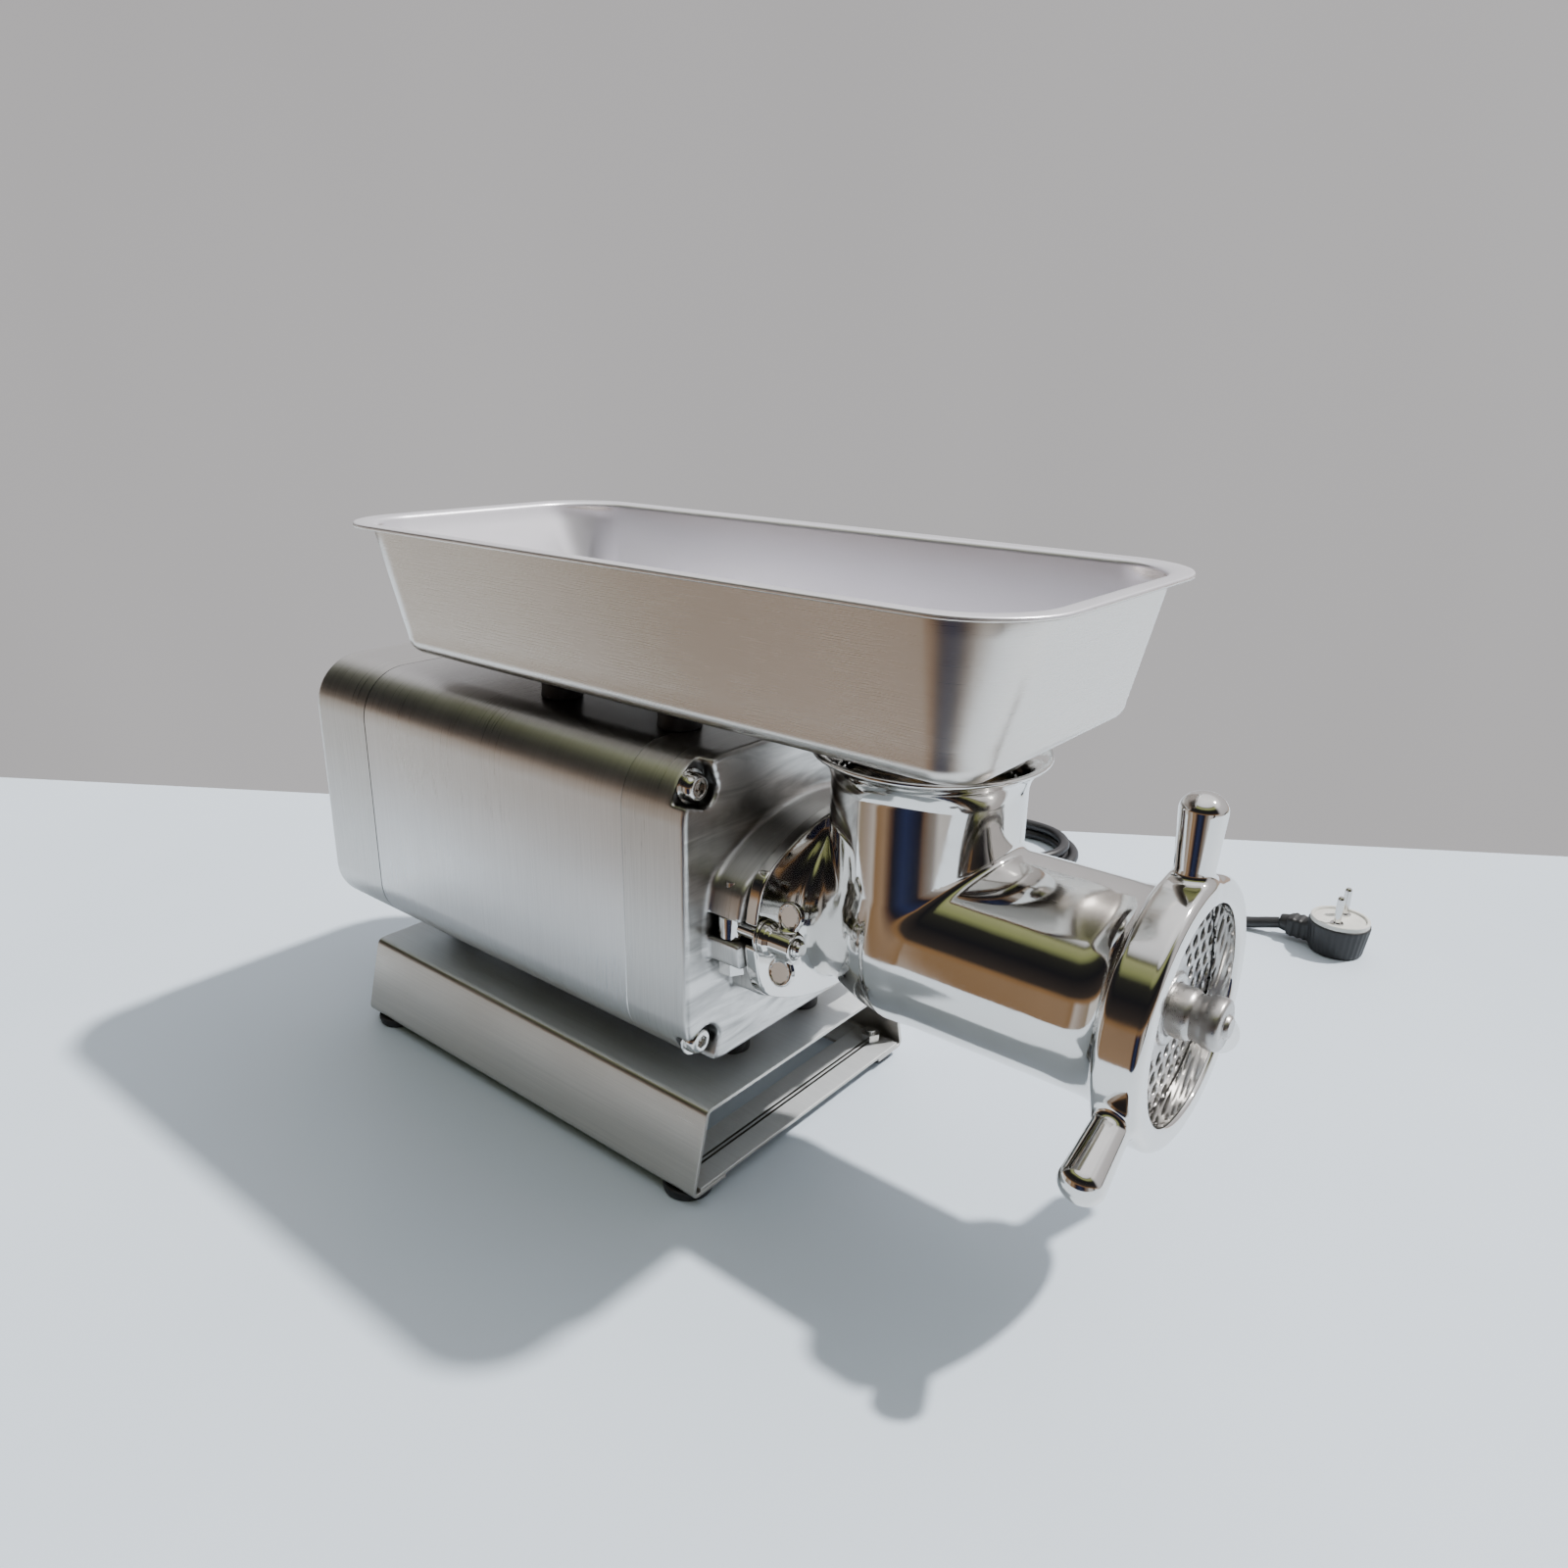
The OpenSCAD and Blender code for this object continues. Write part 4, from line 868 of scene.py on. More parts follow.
def add_shell():
    """Body shell: a rounded tube, with its ends turned in a little at the seams."""
    x0, x1 = shell_low[0], shell_high[0]
    stations = [(x0 + 0.6, -1.5), (x0, -1.0), (x0, -0.35), (x0 + 0.35, 0.0)]
    stations += [(x0 + (x1 - x0) * i / 12, 0.0) for i in range(1, 12)]
    stations += [(x1 - 0.35, 0.0), (x1, -0.35), (x1, -1.0), (x1 - 0.6, -1.5)]
    points, rings = [], []
    for x, grow in stations:
        loop = rect_loop(BODY_HALF_W + grow, BODY_HALF_H + grow, BODY_R + grow, 20)
        rings.append(appended(points, [(x, u, v + BODY_CZ) for u, v in loop]))
    faces = []
    for low, high in zip(rings, rings[1:] + rings[:1]):
        faces += bridge(low, high)
    add_piece("body_shell_sheet", points, faces, "brushed_body", "root", ("body_shell",), 40)


# ---------------------------------------------------------------- feed tray


TRAY_SHEET = 1.2
TRAY_DROP = 31.0
TRAY_RIM = 9.5
END_LEAN, SIDE_LEAN = 18.5, 7.0
FLOOR_SHIFT = 4.0
SPOUT_R = 35.0
CORNER_STEPS = 16


def tray_profile(top, bottom):
    """Sections of the pan from its floor to its rim: inset, lean share, height and corner radius."""
    foot = bottom + TRAY_SHEET
    wall = TRAY_RIM + TRAY_SHEET
    rows = [(wall + 7.5 - 7.5 * math.sin(a), 1.0, foot + 7.0 * (1 - math.cos(a)), 11 + 7 * math.sin(a))
            for a in (math.radians(x) for x in (0, 15, 30, 45, 60, 75, 88))]
    low, high = foot + 7.2, top - 3.0
    rows += [(wall, 1 - i / 8, low + (high - low) * i / 8, 18 + 15 * i / 8) for i in range(9)]
    rows += [(wall - 2.6 * (1 - math.cos(a)), 0.0, high + 2.8 * math.sin(a), 33.5 + 2 * math.sin(a))
             for a in (math.radians(x) for x in (22, 44, 66, 88))]
    rim = [(6.0, 0.12, 36), (2.2, 0, 38.6), (1.5, 0.15, 39), (1.25, 0.6, 39.1), (TRAY_SHEET, 1.2, 39.2),
           (1.25, 1.9, 39.1)]
    return rows + [(inset, 0.0, top - drop, r) for inset, drop, r in rim]


def add_tray():
    """Pressed sheet: floor, rolled floor edge, leaning walls, flat rim with a turned edge, and the spout."""
    center_x = (tray_low[0] + tray_high[0]) / 2
    half_l, half_w = (tray_high[0] - tray_low[0]) / 2, tray_high[1]
    top, bottom = tray_high[2], tray_low[2] + TRAY_DROP
    floor_z = bottom + TRAY_SHEET
    points, rings = [], []
    for inset, lean, z, r in tray_profile(top, bottom):
        loop = rect_loop(half_l - inset - lean * END_LEAN, half_w - inset - lean * SIDE_LEAN, r, CORNER_STEPS)
        rings.append(appended(points, [(center_x + lean * FLOOR_SHIFT + u, v, z) for u, v in loop]))
    # the floor runs from the innermost section to the spout's rounded mouth along spokes
    spokes = []
    for x, y, _ in points[:len(rings[0])]:
        reach = math.hypot(x - THROAT_X, y)
        spokes.append(((x - THROAT_X) / reach, y / reach, reach))
    mouth = SPOUT_R + 3.4
    lips = [(mouth, 0.0), (mouth - 1.9, -0.25), (mouth - 2.9, -0.9), (SPOUT_R + 0.1, -2.0), (SPOUT_R, -4.0),
            (SPOUT_R, 0.4 - TRAY_DROP)]
    inner = []
    for share in (0.75, 0.5, 0.25):
        inner.append([(mouth + (far - mouth) * share, 0.0) for _, _, far in spokes])
    inner += [[lip] * len(spokes) for lip in lips]
    faces, last = [], rings[0]
    for ring in inner:
        row = appended(points, [(THROAT_X + r * c, r * s, floor_z + drop)
                                for (c, s, _), (r, drop) in zip(spokes, ring)])
        faces += bridge(row, last)
        last = row
    for low, high in zip(rings, rings[1:]):
        faces += bridge(low, high)
    pan = add_piece("feed_tray_sheet", points, faces, "tray_steel", "tray", ("feed_tray",), 60)
    thicken = pan.modifiers.new("sheet", "SOLIDIFY")
    thicken.thickness = TRAY_SHEET * MM
    thicken.offset = 1
    thicken.use_even_offset = False
    collar = [(SPOUT_R + 1, -12.0), (40.0, -12.0), (40.5, -11.5), (40.5, -10.0), (40.0, -9.5),
              (SPOUT_R + 1.6, -9.2), (SPOUT_R + 1.1, -8.4)]
    add_shapes("feed_tray_collar", [lathe(collar, 72, (THROAT_X, 0, bottom), (0, 0, 1))],
               "tray_steel", "tray")


# ---------------------------------------------------------------- base, feet and buffers

BASE_SHEET = 2.0
BASE_LIP = 24.0
BASE_FOLD = 3.2
BASE_DECK_HALF = 76.6
FOOT_R = 12.4
BUFFER_R = 10.5
BUFFER_Y = 41.0


def folded(corners, radius, steps=5):
    """A bent line in 2-D, with each inner corner rounded."""
    line = [corners[0]]
    for before, at, after in zip(corners, corners[1:], corners[2:]):
        at = Vector(at)
        back, ahead = (Vector(before) - at).normalized(), (Vector(after) - at).normalized()
        reach = radius / math.tan(back.angle(ahead) / 2)
        start, end = at + back * reach, at + ahead * reach
        for i in range(steps + 1):
            t = i / steps
            line.append(tuple(start * (1 - t) ** 2 + at * 2 * t * (1 - t) + end * t * t))
    return line + [corners[-1]]


def sheet_strip(line, thickness, x0, x1):
    """Closed sheet whose cross-section in Y and Z follows a line, from x0 to x1."""
    outer, inner = [], []
    for i, at in enumerate(line):
        along = Vector(line[min(i + 1, len(line) - 1)]) - Vector(line[max(i - 1, 0)])
        side = Vector((along.y, -along.x)).normalized() * thickness / 2
        outer.append(Vector(at) + side)
        inner.append(Vector(at) - side)
    loop = outer + inner[::-1]
    n = len(loop)
    points = [(x, q.x, q.y) for x in (x0, x1) for q in loop]
    faces = [[i, (i + 1) % n, n + (i + 1) % n, n + i] for i in range(n)]
    half = len(outer)
    for i in range(half - 1):
        cap = [i, n - 1 - i, n - 2 - i, i + 1]
        faces += [cap, [n + v for v in reversed(cap)]]
    return points, faces


def add_base():
    """Splayed sheet-metal base with folded lips, and its rubber feet."""
    bottom, top = base_low[2] + BASE_SHEET / 2, base_high[2] - BASE_SHEET / 2
    splay = base_high[1] - BASE_SHEET / 2
    half = [(splay - BASE_LIP + 1, bottom), (splay - 0.4, bottom), (BASE_DECK_HALF, top)]
    corners = half + [(-y, z) for y, z in reversed(half)]
    strip = sheet_strip(folded(corners, BASE_FOLD), BASE_SHEET, base_low[0], base_high[0])
    base = add_shapes("base_cover_folded", [strip], "base_steel", "root", ("base_cover",))
    soften(base, 0.35)
    tall = feet_high[2] - 0.1
    foot = [(0, 0), (FOOT_R - 1.2, 0), (FOOT_R - 0.7, 0.3), (FOOT_R - 0.4, 1.0), (FOOT_R - 0.1, tall * 0.5),
            (FOOT_R, tall - 0.9), (FOOT_R - 0.2, tall - 0.3), (FOOT_R - 0.6, tall), (0, tall)]
    places = [(x, y, 0) for x in (feet_low[0] + FOOT_R, feet_high[0] - FOOT_R)
              for y in (feet_low[1] + FOOT_R, feet_high[1] - FOOT_R)]
    add_shapes("rubber_feet_moulded", [lathe(foot, 40, at, (0, 0, 1)) for at in places],
               "black_rubber", "root", ("rubber_feet",))
    tall = buffer_high[2] - buffer_low[2]
    bump = [(0, 0), (BUFFER_R - 0.9, 0), (BUFFER_R - 0.2, 0.3), (BUFFER_R, 0.9),
            (BUFFER_R - 0.5, tall * 0.35), (BUFFER_R - 0.5, tall * 0.65), (BUFFER_R, tall - 0.9),
            (BUFFER_R - 0.3, tall - 0.2), (BUFFER_R - 1.1, tall), (0, tall)]
    places = [(x, y, buffer_low[2]) for x in (buffer_low[0] + BUFFER_R, buffer_high[0] - BUFFER_R)
              for y in (-BUFFER_Y, BUFFER_Y)]
    add_shapes("tray_buffers_moulded", [lathe(bump, 40, at, (0, 0, 1)) for at in places],
               "black_rubber", "root", ("tray_buffers",))


def soften(piece, width_mm, angle=35):
    """Rounds a piece's sharp edges a little."""
    weld = piece.modifiers.new("weld", "WELD")
    weld.merge_threshold = 0.01 * MM
    bevel = piece.modifiers.new("soft_edges", "BEVEL")
    bevel.width = width_mm * MM
    bevel.segments = 2
    bevel.limit_method = "ANGLE"
    bevel.angle_limit = math.radians(angle)
    bevel.harden_normals = True


def soften_cad_nodes():
    """Takes the raw edges off the CAD pieces that stay in view."""
    widths = {"front_strap": 0.4, "rear_strap": 0.4, "foot_nuts": 0.4, "spacer_bolts": 0.4,
              "body_spacers": 0.5, "hinge_pins": 0.35, "washer_near": 0.3, "washer_far": 0.3,
              "switch_bezel": 0.9, "start_button": 0.6, "stop_button": 0.6, "knife": 0.3}
    for node, width in widths.items():
        soften(frame["nodes"][node], width)


# ---------------------------------------------------------------- screws, swing bolts, wing nuts

SCREW_HEAD_R = 6.5


def screw_shapes(center, axis):
    """Socket screw: rounded head with a hexagon socket, from the pocket's floor outwards."""
    r, tall = SCREW_HEAD_R, 6.2
    profile = [(0, 0), (r - 0.3, 0), (r, 0.4), (r, tall * 0.5), (r * 0.96, tall * 0.74),
               (r * 0.85, tall * 0.92), (r * 0.7, tall), (2.9, tall - 0.1, 6), (2.7, tall - 0.5, 6),
               (2.7, tall - 3.2, 6), (0, tall - 3.9)]
    washer = [(r, 0), (8.0, 0), (8.2, 0.3), (8.2, 0.9), (7.8, 1.2), (r, 1.2)]
    return [lathe(profile, 36, center, axis), lathe(washer, 36, center, axis)]


def add_cover_screws(node, x, side, inset):
    """Four screws near a cover's corners, heads towards side (1 front, -1 rear)."""
    shapes = []
    for sy in (-1, 1):
        for sz in (-1, 1):
            center = (x, sy * (SCREW_Y - inset), BODY_CZ + sz * (SCREW_Z - inset))
            shapes += screw_shapes(center, (side, 0, 0))
    add_shapes(node + "_socket", shapes, "fastener", "root", (node,), 32)


def add_swing_bolt(name, side):
    """Eye on the hinge pin and a threaded shank."""
    hub = (PIN_X, side * PIN_Y, BOLT_Z)
    half_eye = [(3.55, -5.0), (3.8, -5.2), (6.1, -5.2), (6.5, -4.8)]
    eye = half_eye + [(r, -z) for r, z in reversed(half_eye)] + half_eye[:1]
    shank = [(0, 5), (3.7, 5), (3.7, 14)]
    turns, pitch = 18, 1.3
    for i in range(turns):
        x = 14 + i * pitch
        shank += [(3.35, x + 0.15), (3.95, x + 0.6), (3.95, x + 0.85), (3.35, x + pitch)]
    shank += [(3.3, 38.0), (2.7, 38.8), (0, 38.8)]
    shapes = [lathe(eye, 36, hub, (0, 0, 1)), lathe(shank, 30, hub, (1, 0, 0))]
    add_shapes("swing_bolt_" + name + "_threaded", shapes, "polished", name + "_bolt",
               ("swing_bolt_" + name,), 38)


WING_TILT = 14.0
WING_R = 6.3


def add_wing_nut(name, side):
    """Turned hub with two round dished wings, cast in one."""
    low, _ = box_mm("wing_nut_" + name)
    x0, y0 = low[0], side * PIN_Y
    tilt = math.radians(side * WING_TILT)

    def field(p):
        x, y, z = p[:, 0] - x0, p[:, 1] - y0, p[:, 2] - BOLT_Z
        radius = np.hypot(y, z)
        swell = 6.2 + 1.4 * np.clip((5 - x) / 2, 0, 1)
        hub = extrude(radius - swell, slab(x, 0, 16), 0.7)
        across = y * math.cos(tilt) + z * math.sin(tilt)
        up = z * math.cos(tilt) - y * math.sin(tilt)
        disc = np.hypot(x - 10.5, np.abs(up) - 12.3)
        wing = extrude(disc - WING_R, np.abs(across) - 1.7, 0.8)
        dish = extrude(disc - WING_R + 1.5, np.abs(np.abs(across) - 2.0) - 0.6)
        solid = smooth_min(hub, wing, 3.0)
        solid = cut(solid, np.maximum(dish, 6.9 - radius), 0.3)
        return cut(solid, extrude(radius - 4.05, slab(x, -2, 18)), 0.5)

    reach = 12.3 + WING_R + 1
    add_field_piece("wing_nut_" + name + "_cast", field, (x0, y0 - 11, BOLT_Z - reach),
                    (x0 + 17.5, y0 + 11, BOLT_Z + reach), 0.62, "polished", name + "_nut",
                    ("wing_nut_" + name,))


# ---------------------------------------------------------------- plate and stud

HOLE_R = 2.75
HOLE_STEP = 8.2
HOLE_ROWS = 6
HOLES_FROM, HOLES_TO = 19, 44
FAR_AWAY = 99.0


def nearest_hole(y, z):
    """Distance to the rim of the nearest drilled hole; the holes stand in staggered rows."""
    best = np.full(y.shape, FAR_AWAY)
    rise = HOLE_STEP * math.sin(math.radians(60))
    for shift in (-1, 0, 1):
        row = np.clip(np.round(z / rise) + shift, -HOLE_ROWS, HOLE_ROWS)
        lead = (np.abs(row) % 2) / 2
        column = np.clip(np.round(y / HOLE_STEP - lead), -HOLE_ROWS, HOLE_ROWS)
        hole_y, hole_z = HOLE_STEP * (column + lead), rise * row
        out = np.hypot(hole_y, hole_z)
        drilled = (out > HOLES_FROM) & (out < HOLES_TO)
        best = np.minimum(best, np.where(drilled, np.hypot(y - hole_y, z - hole_z) - HOLE_R, FAR_AWAY))
    return best


def plate_field(p):
    y, z = p[:, 1], p[:, 2] - AXIS_Z
    radius = np.hypot(y, z)
    x0, x1 = plate_low[0], plate_high[0]
    solid = extrude(radius - plate_high[1], slab(p[:, 0], x0, x1 - 2), 0.6)
    solid = smooth_min(solid, extrude(radius - 15, slab(p[:, 0], x0, x1), 0.5), 1.0)
    solid = cut(solid, np.maximum(nearest_hole(y, z), slab(p[:, 0], x0 - 4, x1 + 4)), 0.55)
    return cut(solid, extrude(radius - 10.8, slab(p[:, 0], x0 - 3, x1 + 3)), 0.5)


def add_plate():
    reach = plate_high[1] + 0.5
    plate = add_field_piece("perforated_plate_drilled", plate_field, (plate_low[0], -reach, AXIS_Z - reach),
                            (plate_high[0], reach, AXIS_Z + reach), 0.85, "polished", "plate",
                            ("perforated_plate",))
    refinish(plate, "plate_steel")


def add_stud():
    """Brushed stud that carries the knife and the plate, with a groove and a turned end."""
    low, end = stud_low[0], stud_high[0]
    root = [(0, low), (7.6, low), (8.0, low + 0.6), (8.0, RING_X0 - 10), (0, RING_X0 - 10)]
    nose = [(0, RING_X0 - 3), (10.7, RING_X0 - 2), (10.7, RING_X1 - 2.5), (10.1, RING_X1 - 0.9),
            (9.4, RING_X1 - 0.2), (9.3, RING_X1 + 1.4), (9.4, RING_X1 + 2.9), (10.2, RING_X1 + 4.2),
            (10.7, RING_X1 + 5),
            (10.7, end - 3.6), (10.3, end - 2.7), (9.6, end - 2.2), (8.8, end - 2.0), (5.4, end - 2.1),
            (4.9, end - 1.8), (4.6, end - 0.7), (4.0, end - 0.1), (0, end)]
    center, axis = (0, 0, AXIS_Z), (1, 0, 0)
    stud = add_shapes("auger_stud_turned", [lathe(root, 40, center, axis), lathe(nose, 64, center, axis),
                                            knife_square()], "polished", "drive", ("auger_stud",), 35)
    refinish(stud, "stud_steel")


def knife_square():
    """Square shoulder that turns the knife."""
    x0, x1, half = RING_X0 - 19, RING_X0 - 1, 11.0
    points = [(x, y, AXIS_Z + z) for x in (x0, x1) for y, z in
              ((-half, -half), (half, -half), (half, half), (-half, half))]
    return points, [[3, 2, 1, 0], [4, 5, 6, 7], [0, 1, 5, 4], [1, 2, 6, 5], [2, 3, 7, 6], [3, 0, 4, 7]]


# ---------------------------------------------------------------- mains lead

LEAD_D = 8.0
PLUG_R, PLUG_TALL, PIN_SPREAD = 20, 22, 9.5
PLUG_X, PLUG_Y = plug_high[0] - PLUG_R, (plug_low[1] + plug_high[1]) / 2
COIL_R = (coil_high[0] - coil_low[0]) / 2 - LEAD_D
COIL_TURNS, COIL_STEPS = 3, 18
FEED_ROUTE = [
    (0, 108, 100), (0, 122, 98), (1, 138, 90), (3, 152, 76), (6, 165, 58), (10, 178, 39), (16, 193, 21),
    (25, 211, 9), (38, 232, 4.5), (54, 256, 4), (72, 280, 4), (91, 303, 4), (110, 325, 4), (125, 341, 4),
    (139, 350, 4), (152, 353.5, 4),
]
PLUG_ROUTE = [
    (-26, 354, 12), (-12, 354.5, 10), (2, 355.5, 6.5), (16, 357, 4.2), (36, 360, 4), (58, 365, 4),
    (82, 370.5, 4), (106, 376, 4), (128, 381, 4), (146, 385.5, 5), (158, 388.5, 7.5), (166, 390, 9.4),
]


def eased(value, start, end):
    """0 before start, 1 after end, and smooth between."""
    t = min(1.0, max(0.0, (value - start) / (end - start)))
    return t * t * (3 - 2 * t)


def coil_points():
    """The coil's turns: outer and low, then inner and low, inner and high, and outer and high."""
    center_x, center_y = (coil_low[0] + coil_high[0]) / 2, (coil_low[1] + coil_high[1]) / 2
    points = []
    for k in range(COIL_TURNS * COIL_STEPS + 1):
        turned = 360 * k / COIL_STEPS
        radius = COIL_R + LEAD_D * (0.5 - eased(turned, 300, 360) + eased(turned, 900, 960))
        height = LEAD_D * (0.5 + eased(turned, 600, 660))
        a = math.radians(turned - 90)
        points.append((center_x + radius * math.cos(a), center_y + radius * math.sin(a), height))
    return points


def smooth_line(points, step=3.5):
    """Points every few millimetres on a smooth curve through the given ones."""
    points = [np.array(q, float) for q in points]
    line = []
    for i in range(len(points) - 1):
        a, b, c, d = (points[max(i - 1, 0)], points[i], points[i + 1], points[min(i + 2, len(points) - 1)])
        count = max(2, round(np.linalg.norm(c - b) / step))
        for k in range(count):
            t = k / count
            line.append(0.5 * (2 * b + (c - a) * t + (2 * a - 5 * b + 4 * c - d) * t ** 2
                               + (3 * b - a - 3 * c + d) * t ** 3))
    return line + [points[-1]]


def add_lead(fittings):
    feed = [(GLAND_X + x, y, z) for x, y, z in FEED_ROUTE]
    line = smooth_line(feed + coil_points() + PLUG_ROUTE)
    data = bpy.data.curves.new("mains_lead", "CURVE")
    data.dimensions = "3D"
    data.bevel_depth = LEAD_D / 2 * MM
    data.bevel_resolution = 5
    data.use_fill_caps = True
    spline = data.splines.new("POLY")
    spline.points.add(len(line) - 1)
    for point, place in zip(spline.points, line):
        point.co = (*(place * MM), 1)
    spline.use_smooth = True
    data.materials.append(MATERIALS["lead_sheath"])
    lead = scene_object("mains_lead", data)
    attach(lead, "root")
    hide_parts("power_cord", "cord_coil", "plug_cord")
    tuple(c * MM for c in feed[0])


def add_gland():
    """Flanged gland whose ribbed sleeve tapers onto the lead."""
    bore = LEAD_D / 2 + 0.05
    profile = [(bore, -13.8), (8, -13.8), (8, 0), (10.0, 0), (10.5, 0.5), (10.5, 4.0), (9.9, 4.8), (7.4, 5.2)]
    ribs, pitch = 5, 3.5
    for i in range(ribs):
        start = 6.2 + i * pitch
        r = 7.4 - 0.1 * (start - 5)
        rib = [(r - 1.1, 0), (r - 1.1, 0.9), (r, 1.2), (r, 2.6), (r - 0.5, 3.1)]
        profile += [(radius, start + along) for radius, along in rib]
    profile += [(5.2, 23.9), (4.8, 24.4), (bore, 24.4)]
    return add_shapes("cord_gland_ribbed", [lathe(profile, 48, (GLAND_X, BODY_HALF_W, GLAND_Z), (0, 1, 0))],
                      "black_rubber", "root", ("cord_gland",), 35)


def plug_field(p):
    """Moulded plug on its back: round body, ribbed grip and a cone that grips the lead."""
    x, y, z = p[:, 0] - PLUG_X, p[:, 1] - PLUG_Y, p[:, 2]
    radius = np.hypot(x, y)
    swell = 3 * np.clip(z / PLUG_TALL, 0, 1)
    body = extrude((radius - 17 - swell) * 0.98, slab(z, 0, PLUG_TALL), 1.6)
    flutes = 0.45 * np.cos(np.arctan2(y, x) * 30) * np.clip((12 - np.abs(z - 11)) / 4, 0, 1)
    ripple = 0.75 * (0.5 + 0.5 * np.cos(2 * math.pi * x / 4.4))
    grip = extrude(rounded_rect(y, z - 10, 7.7, 7.2, 3.0) + ripple, slab(x, -32, -8), 1.5)
    cone = extrude(np.hypot(y, z - 10) - 5.3 - 1.6 * np.clip((x + 38) / 8, 0, 1), slab(x, -38, -28), 0.8)
    return smooth_min(smooth_min(body + flutes * 0.3, grip, 3.0), cone, 1.5)


def add_plug():
    body = add_field_piece("plug_moulded", plug_field, plug_low, (plug_high[0], plug_high[1], 23), 0.75,
                           "black_rubber", "root", ("plug",))
    rim = [(16.4, 21.8), (18.9, 21.8), (18.9, 24.4), (18.5, 24.9), (17.0, 24.9), (16.6, 24.5),
           (16.4, 23.4), (0, 23.4)]
    face = add_shapes("plug_rim", [lathe(rim, 60, (PLUG_X, PLUG_Y, 0), (0, 0, 1))], "grey_plastic",
                      "root", (), 35)
    top = plug_high[2]
    pin = [(0, 23), (2.4, 23), (2.4, top - 2.2), (2.1, top - 1.0), (1.3, top - 0.2), (0, top)]
    sleeve = [(2.9, 23), (4.3, 23), (4.3, 24.2), (3.9, 24.6), (2.4, 24.6)]
    shapes = []
    for side in (-1, 1):
        place = (PLUG_X, PLUG_Y + side * PIN_SPREAD, 0)
        shapes += [lathe(pin, 24, place, (0, 0, 1)), lathe(sleeve, 24, place, (0, 0, 1))]
    pins = add_shapes("plug_pins", shapes, "fastener", "root", (), 35)
    return [body, face, pins]


# ---------------------------------------------------------------- floor, backdrop, light

TABLE_EDGE = -310.0
BACKDROP_AT, BACKDROP_TURN = (-30.0, 480.0), 33.3


def flat_card(name, corners_mm, material, camera_only):
    """Staged flat surface; a camera-only one shows in no reflection and throws no light."""
    mesh = bpy.data.meshes.new(name)
    mesh.from_pydata((np.array(corners_mm, float) * MM).tolist(), [], [list(range(len(corners_mm)))])
    mesh.materials.append(material)
    card = scene_object(name, mesh)
    if camera_only:
        card.visible_glossy = card.visible_diffuse = card.visible_transmission = False
    return card


def floor_paint():
    s = Shader("floor_paint", (0.66, 0.75, 0.85), 0.0, 0.5)
    cloud = s.noise((3.0, 3.0, 3.0), 3.0, 0.55)
    s.color(s.mix(s.ramp(cloud, 0, 1), (0.63, 0.72, 0.82), (0.68, 0.77, 0.87)))
    return s.material


def backdrop_cloth():
    """Plain cloth seen from its front only, so that views from behind look through it."""
    s = Shader("backdrop_cloth", (0.5, 0.48, 0.49), 0.0, 0.9)
    # Painted shade of cloth folds: a broad noise makes the glowing cloth a little lighter and darker.
    fold_shade = s.ramp(s.noise((1.6, 1.6, 0.5), 3.0, 0.5), 0, 1)
    glow = s.add("Emission", {"Color": s.mix(fold_shade, (0.50, 0.485, 0.49), (0.57, 0.555, 0.56))}).outputs[0]
    clear = s.add("BsdfTransparent").outputs[0]
    behind = s.add("NewGeometry").outputs["Backfacing"]
    seen = s.add("MixShader", {0: behind, 1: glow, 2: clear}).outputs[0]
    s.put(s.tree.nodes["Material Output"].inputs["Surface"], seen)
    return s.material


def add_stage():
    """Pale table that ends towards the viewer for reflections only, and a plain backdrop behind."""
    paint = floor_paint()
    near, far = 1600.0, 8000.0
    flat_card("floor", [(-near, TABLE_EDGE, 0), (near, TABLE_EDGE, 0), (near, near, 0), (-near, near, 0)],
              paint, False)
    flat_card("floor_beyond", [(x * far, y * far, -0.02) for x, y in ((-1, -1), (1, -1), (1, 1), (-1, 1))],
              paint, True)
    turn = math.radians(BACKDROP_TURN)
    along = Vector((math.cos(turn), math.sin(turn), 0)) * far
    foot = Vector((*BACKDROP_AT, -0.2))
    up = Vector((0, 0, far))
    wall = flat_card("backdrop", [foot - along, foot + along, foot + along + up, foot - along + up],
                     backdrop_cloth(), True)
    wall.visible_shadow = False


# Colours by height above the horizon: a position of 0 looks straight down, 0.5 level and 1 straight up.
OPEN_SIDE = [
    (0.0, (0.46, 0.39, 0.32)), (0.30, (0.46, 0.39, 0.32)), (0.44, (0.36, 0.28, 0.20)),
    (0.485, (0.34, 0.19, 0.08)), (0.53, (0.30, 0.17, 0.08)), (0.56, (0.05, 0.04, 0.035)),
    (0.70, (0.015, 0.015, 0.018)), (0.80, (0.03, 0.03, 0.025)), (0.84, (0.30, 0.33, 0.14)),
    (0.885, (0.42, 0.44, 0.22)), (0.90, (0.12, 0.12, 0.06)), (0.925, (0.95, 0.96, 1.0)),
    (1.0, (1.35, 1.36, 1.4)),
]
CLOTH_SIDE = [
    (0.0, (0.5, 0.49, 0.49)), (0.49, (0.5, 0.49, 0.49)), (0.52, (0.66, 0.64, 0.65)),
    (0.78, (0.8, 0.78, 0.8)), (0.86, (1.25, 1.25, 1.3)), (1.0, (1.4, 1.41, 1.45)),
]
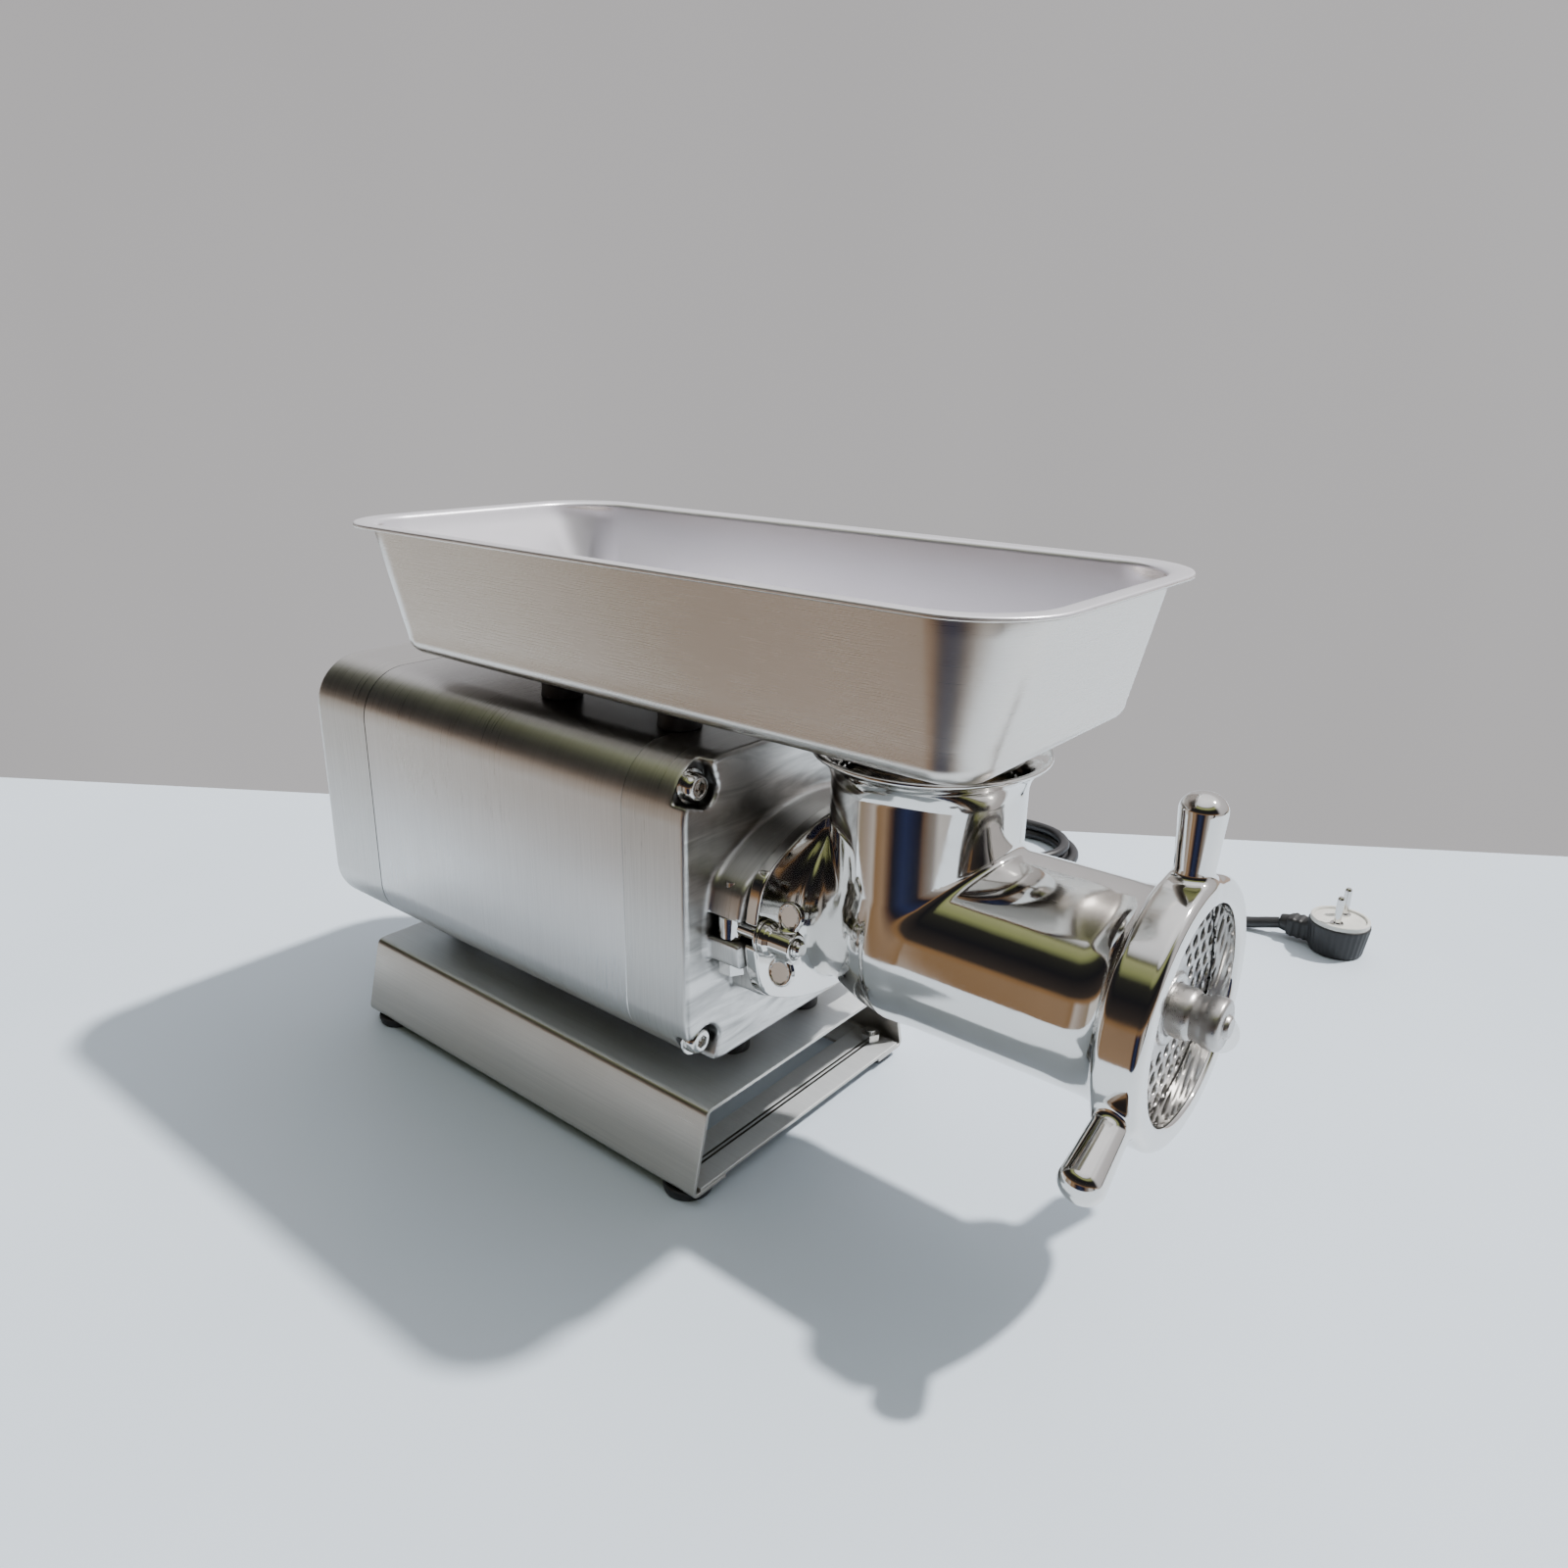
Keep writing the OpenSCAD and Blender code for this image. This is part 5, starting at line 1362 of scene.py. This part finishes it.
# Room below the horizon by heading: 0 and 1 look along -X, 0.25 along -Y and 0.5 along +X.
AROUND = [
    (0.0, (0.75, 0.73, 0.7)), (0.095, (0.8, 0.78, 0.75)), (0.108, (0.33, 0.26, 0.185)),
    (0.139, (0.43, 0.355, 0.30)), (0.161, (0.61, 0.55, 0.50)), (0.175, (0.30, 0.18, 0.09)),
    (0.20, (0.36, 0.24, 0.15)), (0.222, (0.12, 0.07, 0.05)), (0.235, (0.02, 0.02, 0.03)),
    (0.27, (0.03, 0.04, 0.10)), (0.318, (0.02, 0.02, 0.03)), (0.328, (0.16, 0.10, 0.07)),
    (0.345, (0.24, 0.20, 0.17)), (0.362, (0.30, 0.27, 0.25)), (0.378, (0.7, 0.68, 0.66)),
    (0.42, (0.6, 0.57, 0.55)), (0.432, (0.05, 0.04, 0.04)), (0.445, (0.05, 0.04, 0.04)),
    (0.455, (0.7, 0.68, 0.66)), (0.58, (0.55, 0.53, 0.52)), (0.60, (0.06, 0.055, 0.055)),
    (0.635, (0.3, 0.26, 0.22)), (0.66, (0.5, 0.45, 0.4)), (0.72, (0.66, 0.5, 0.42)),
    (0.80, (0.5, 0.49, 0.49)), (0.94, (0.5, 0.49, 0.49)), (0.96, (0.1, 0.09, 0.09)),
    (1.0, (0.75, 0.73, 0.7)),
]


def add_world():
    """Room seen only in reflections, and an even pale sky for the camera."""
    world = bpy.data.worlds.new("studio")
    bpy.context.scene.world = world
    world.use_nodes = True
    n = Nodes(world.node_tree)
    n.tree.nodes.clear()
    x, y, z = n.parts(n.add("TexCoord").outputs["Generated"])

    def eased_between(value, start, end):
        return n.ramp(value, 0.0, 1.0, start, end, "SMOOTHSTEP")

    height = n.math("MULTIPLY_ADD", z, 0.5, 0.5)
    heading = n.math("MULTIPLY_ADD", n.math("ARCTAN2", y, x), 0.5 / math.pi, 0.5)
    room = n.mix(eased_between(y, -0.12, 0.25), n.palette(height, OPEN_SIDE), n.palette(height, CLOTH_SIDE))
    low = n.math("MULTIPLY", eased_between(z, 0.06, -0.02), eased_between(z, -0.75, -0.55))
    soft = n.add("Background", {"Color": n.mix(low, room, n.palette(heading, AROUND))}).outputs[0]
    plain = n.add("Background", {"Color": (0.56, 0.55, 0.555, 1)}).outputs[0]
    seen = n.add("LightPath").outputs["Is Camera Ray"]
    n.add("OutputWorld", {"Surface": n.add("MixShader", {0: seen, 1: soft, 2: plain}).outputs[0]})


SUN_ENERGY, SUN_ANGLE = 5.2, 2.5
SUN_COLOR = (1.0, 0.975, 0.95)
SUNBEAM = Vector((-0.453, -0.447, -1.0))


def add_sun():
    data = bpy.data.lights.new("key", "SUN")
    data.energy = SUN_ENERGY
    data.angle = math.radians(SUN_ANGLE)
    data.color = SUN_COLOR
    sun = scene_object("key", data)
    sun.rotation_mode = "QUATERNION"
    sun.rotation_quaternion = SUNBEAM.to_track_quat("-Z", "Y")


add_lead([add_gland(), *add_plug()])
add_stage()
add_world()
add_sun()
add_head()
add_ring()
add_covers()
add_shell()
add_tray()
add_base()
add_cover_screws("front_cover_screws", FACE_X - POCKET_DEEP, 1, 0)
add_cover_screws("rear_cover_screws", REAR_X + POCKET_DEEP, -1, REAR_INSET)
add_plate()
add_stud()
for name, side in (("near", -1), ("far", 1)):
    add_swing_bolt(name, side)
    add_wing_nut(name, side)
soften_cad_nodes()
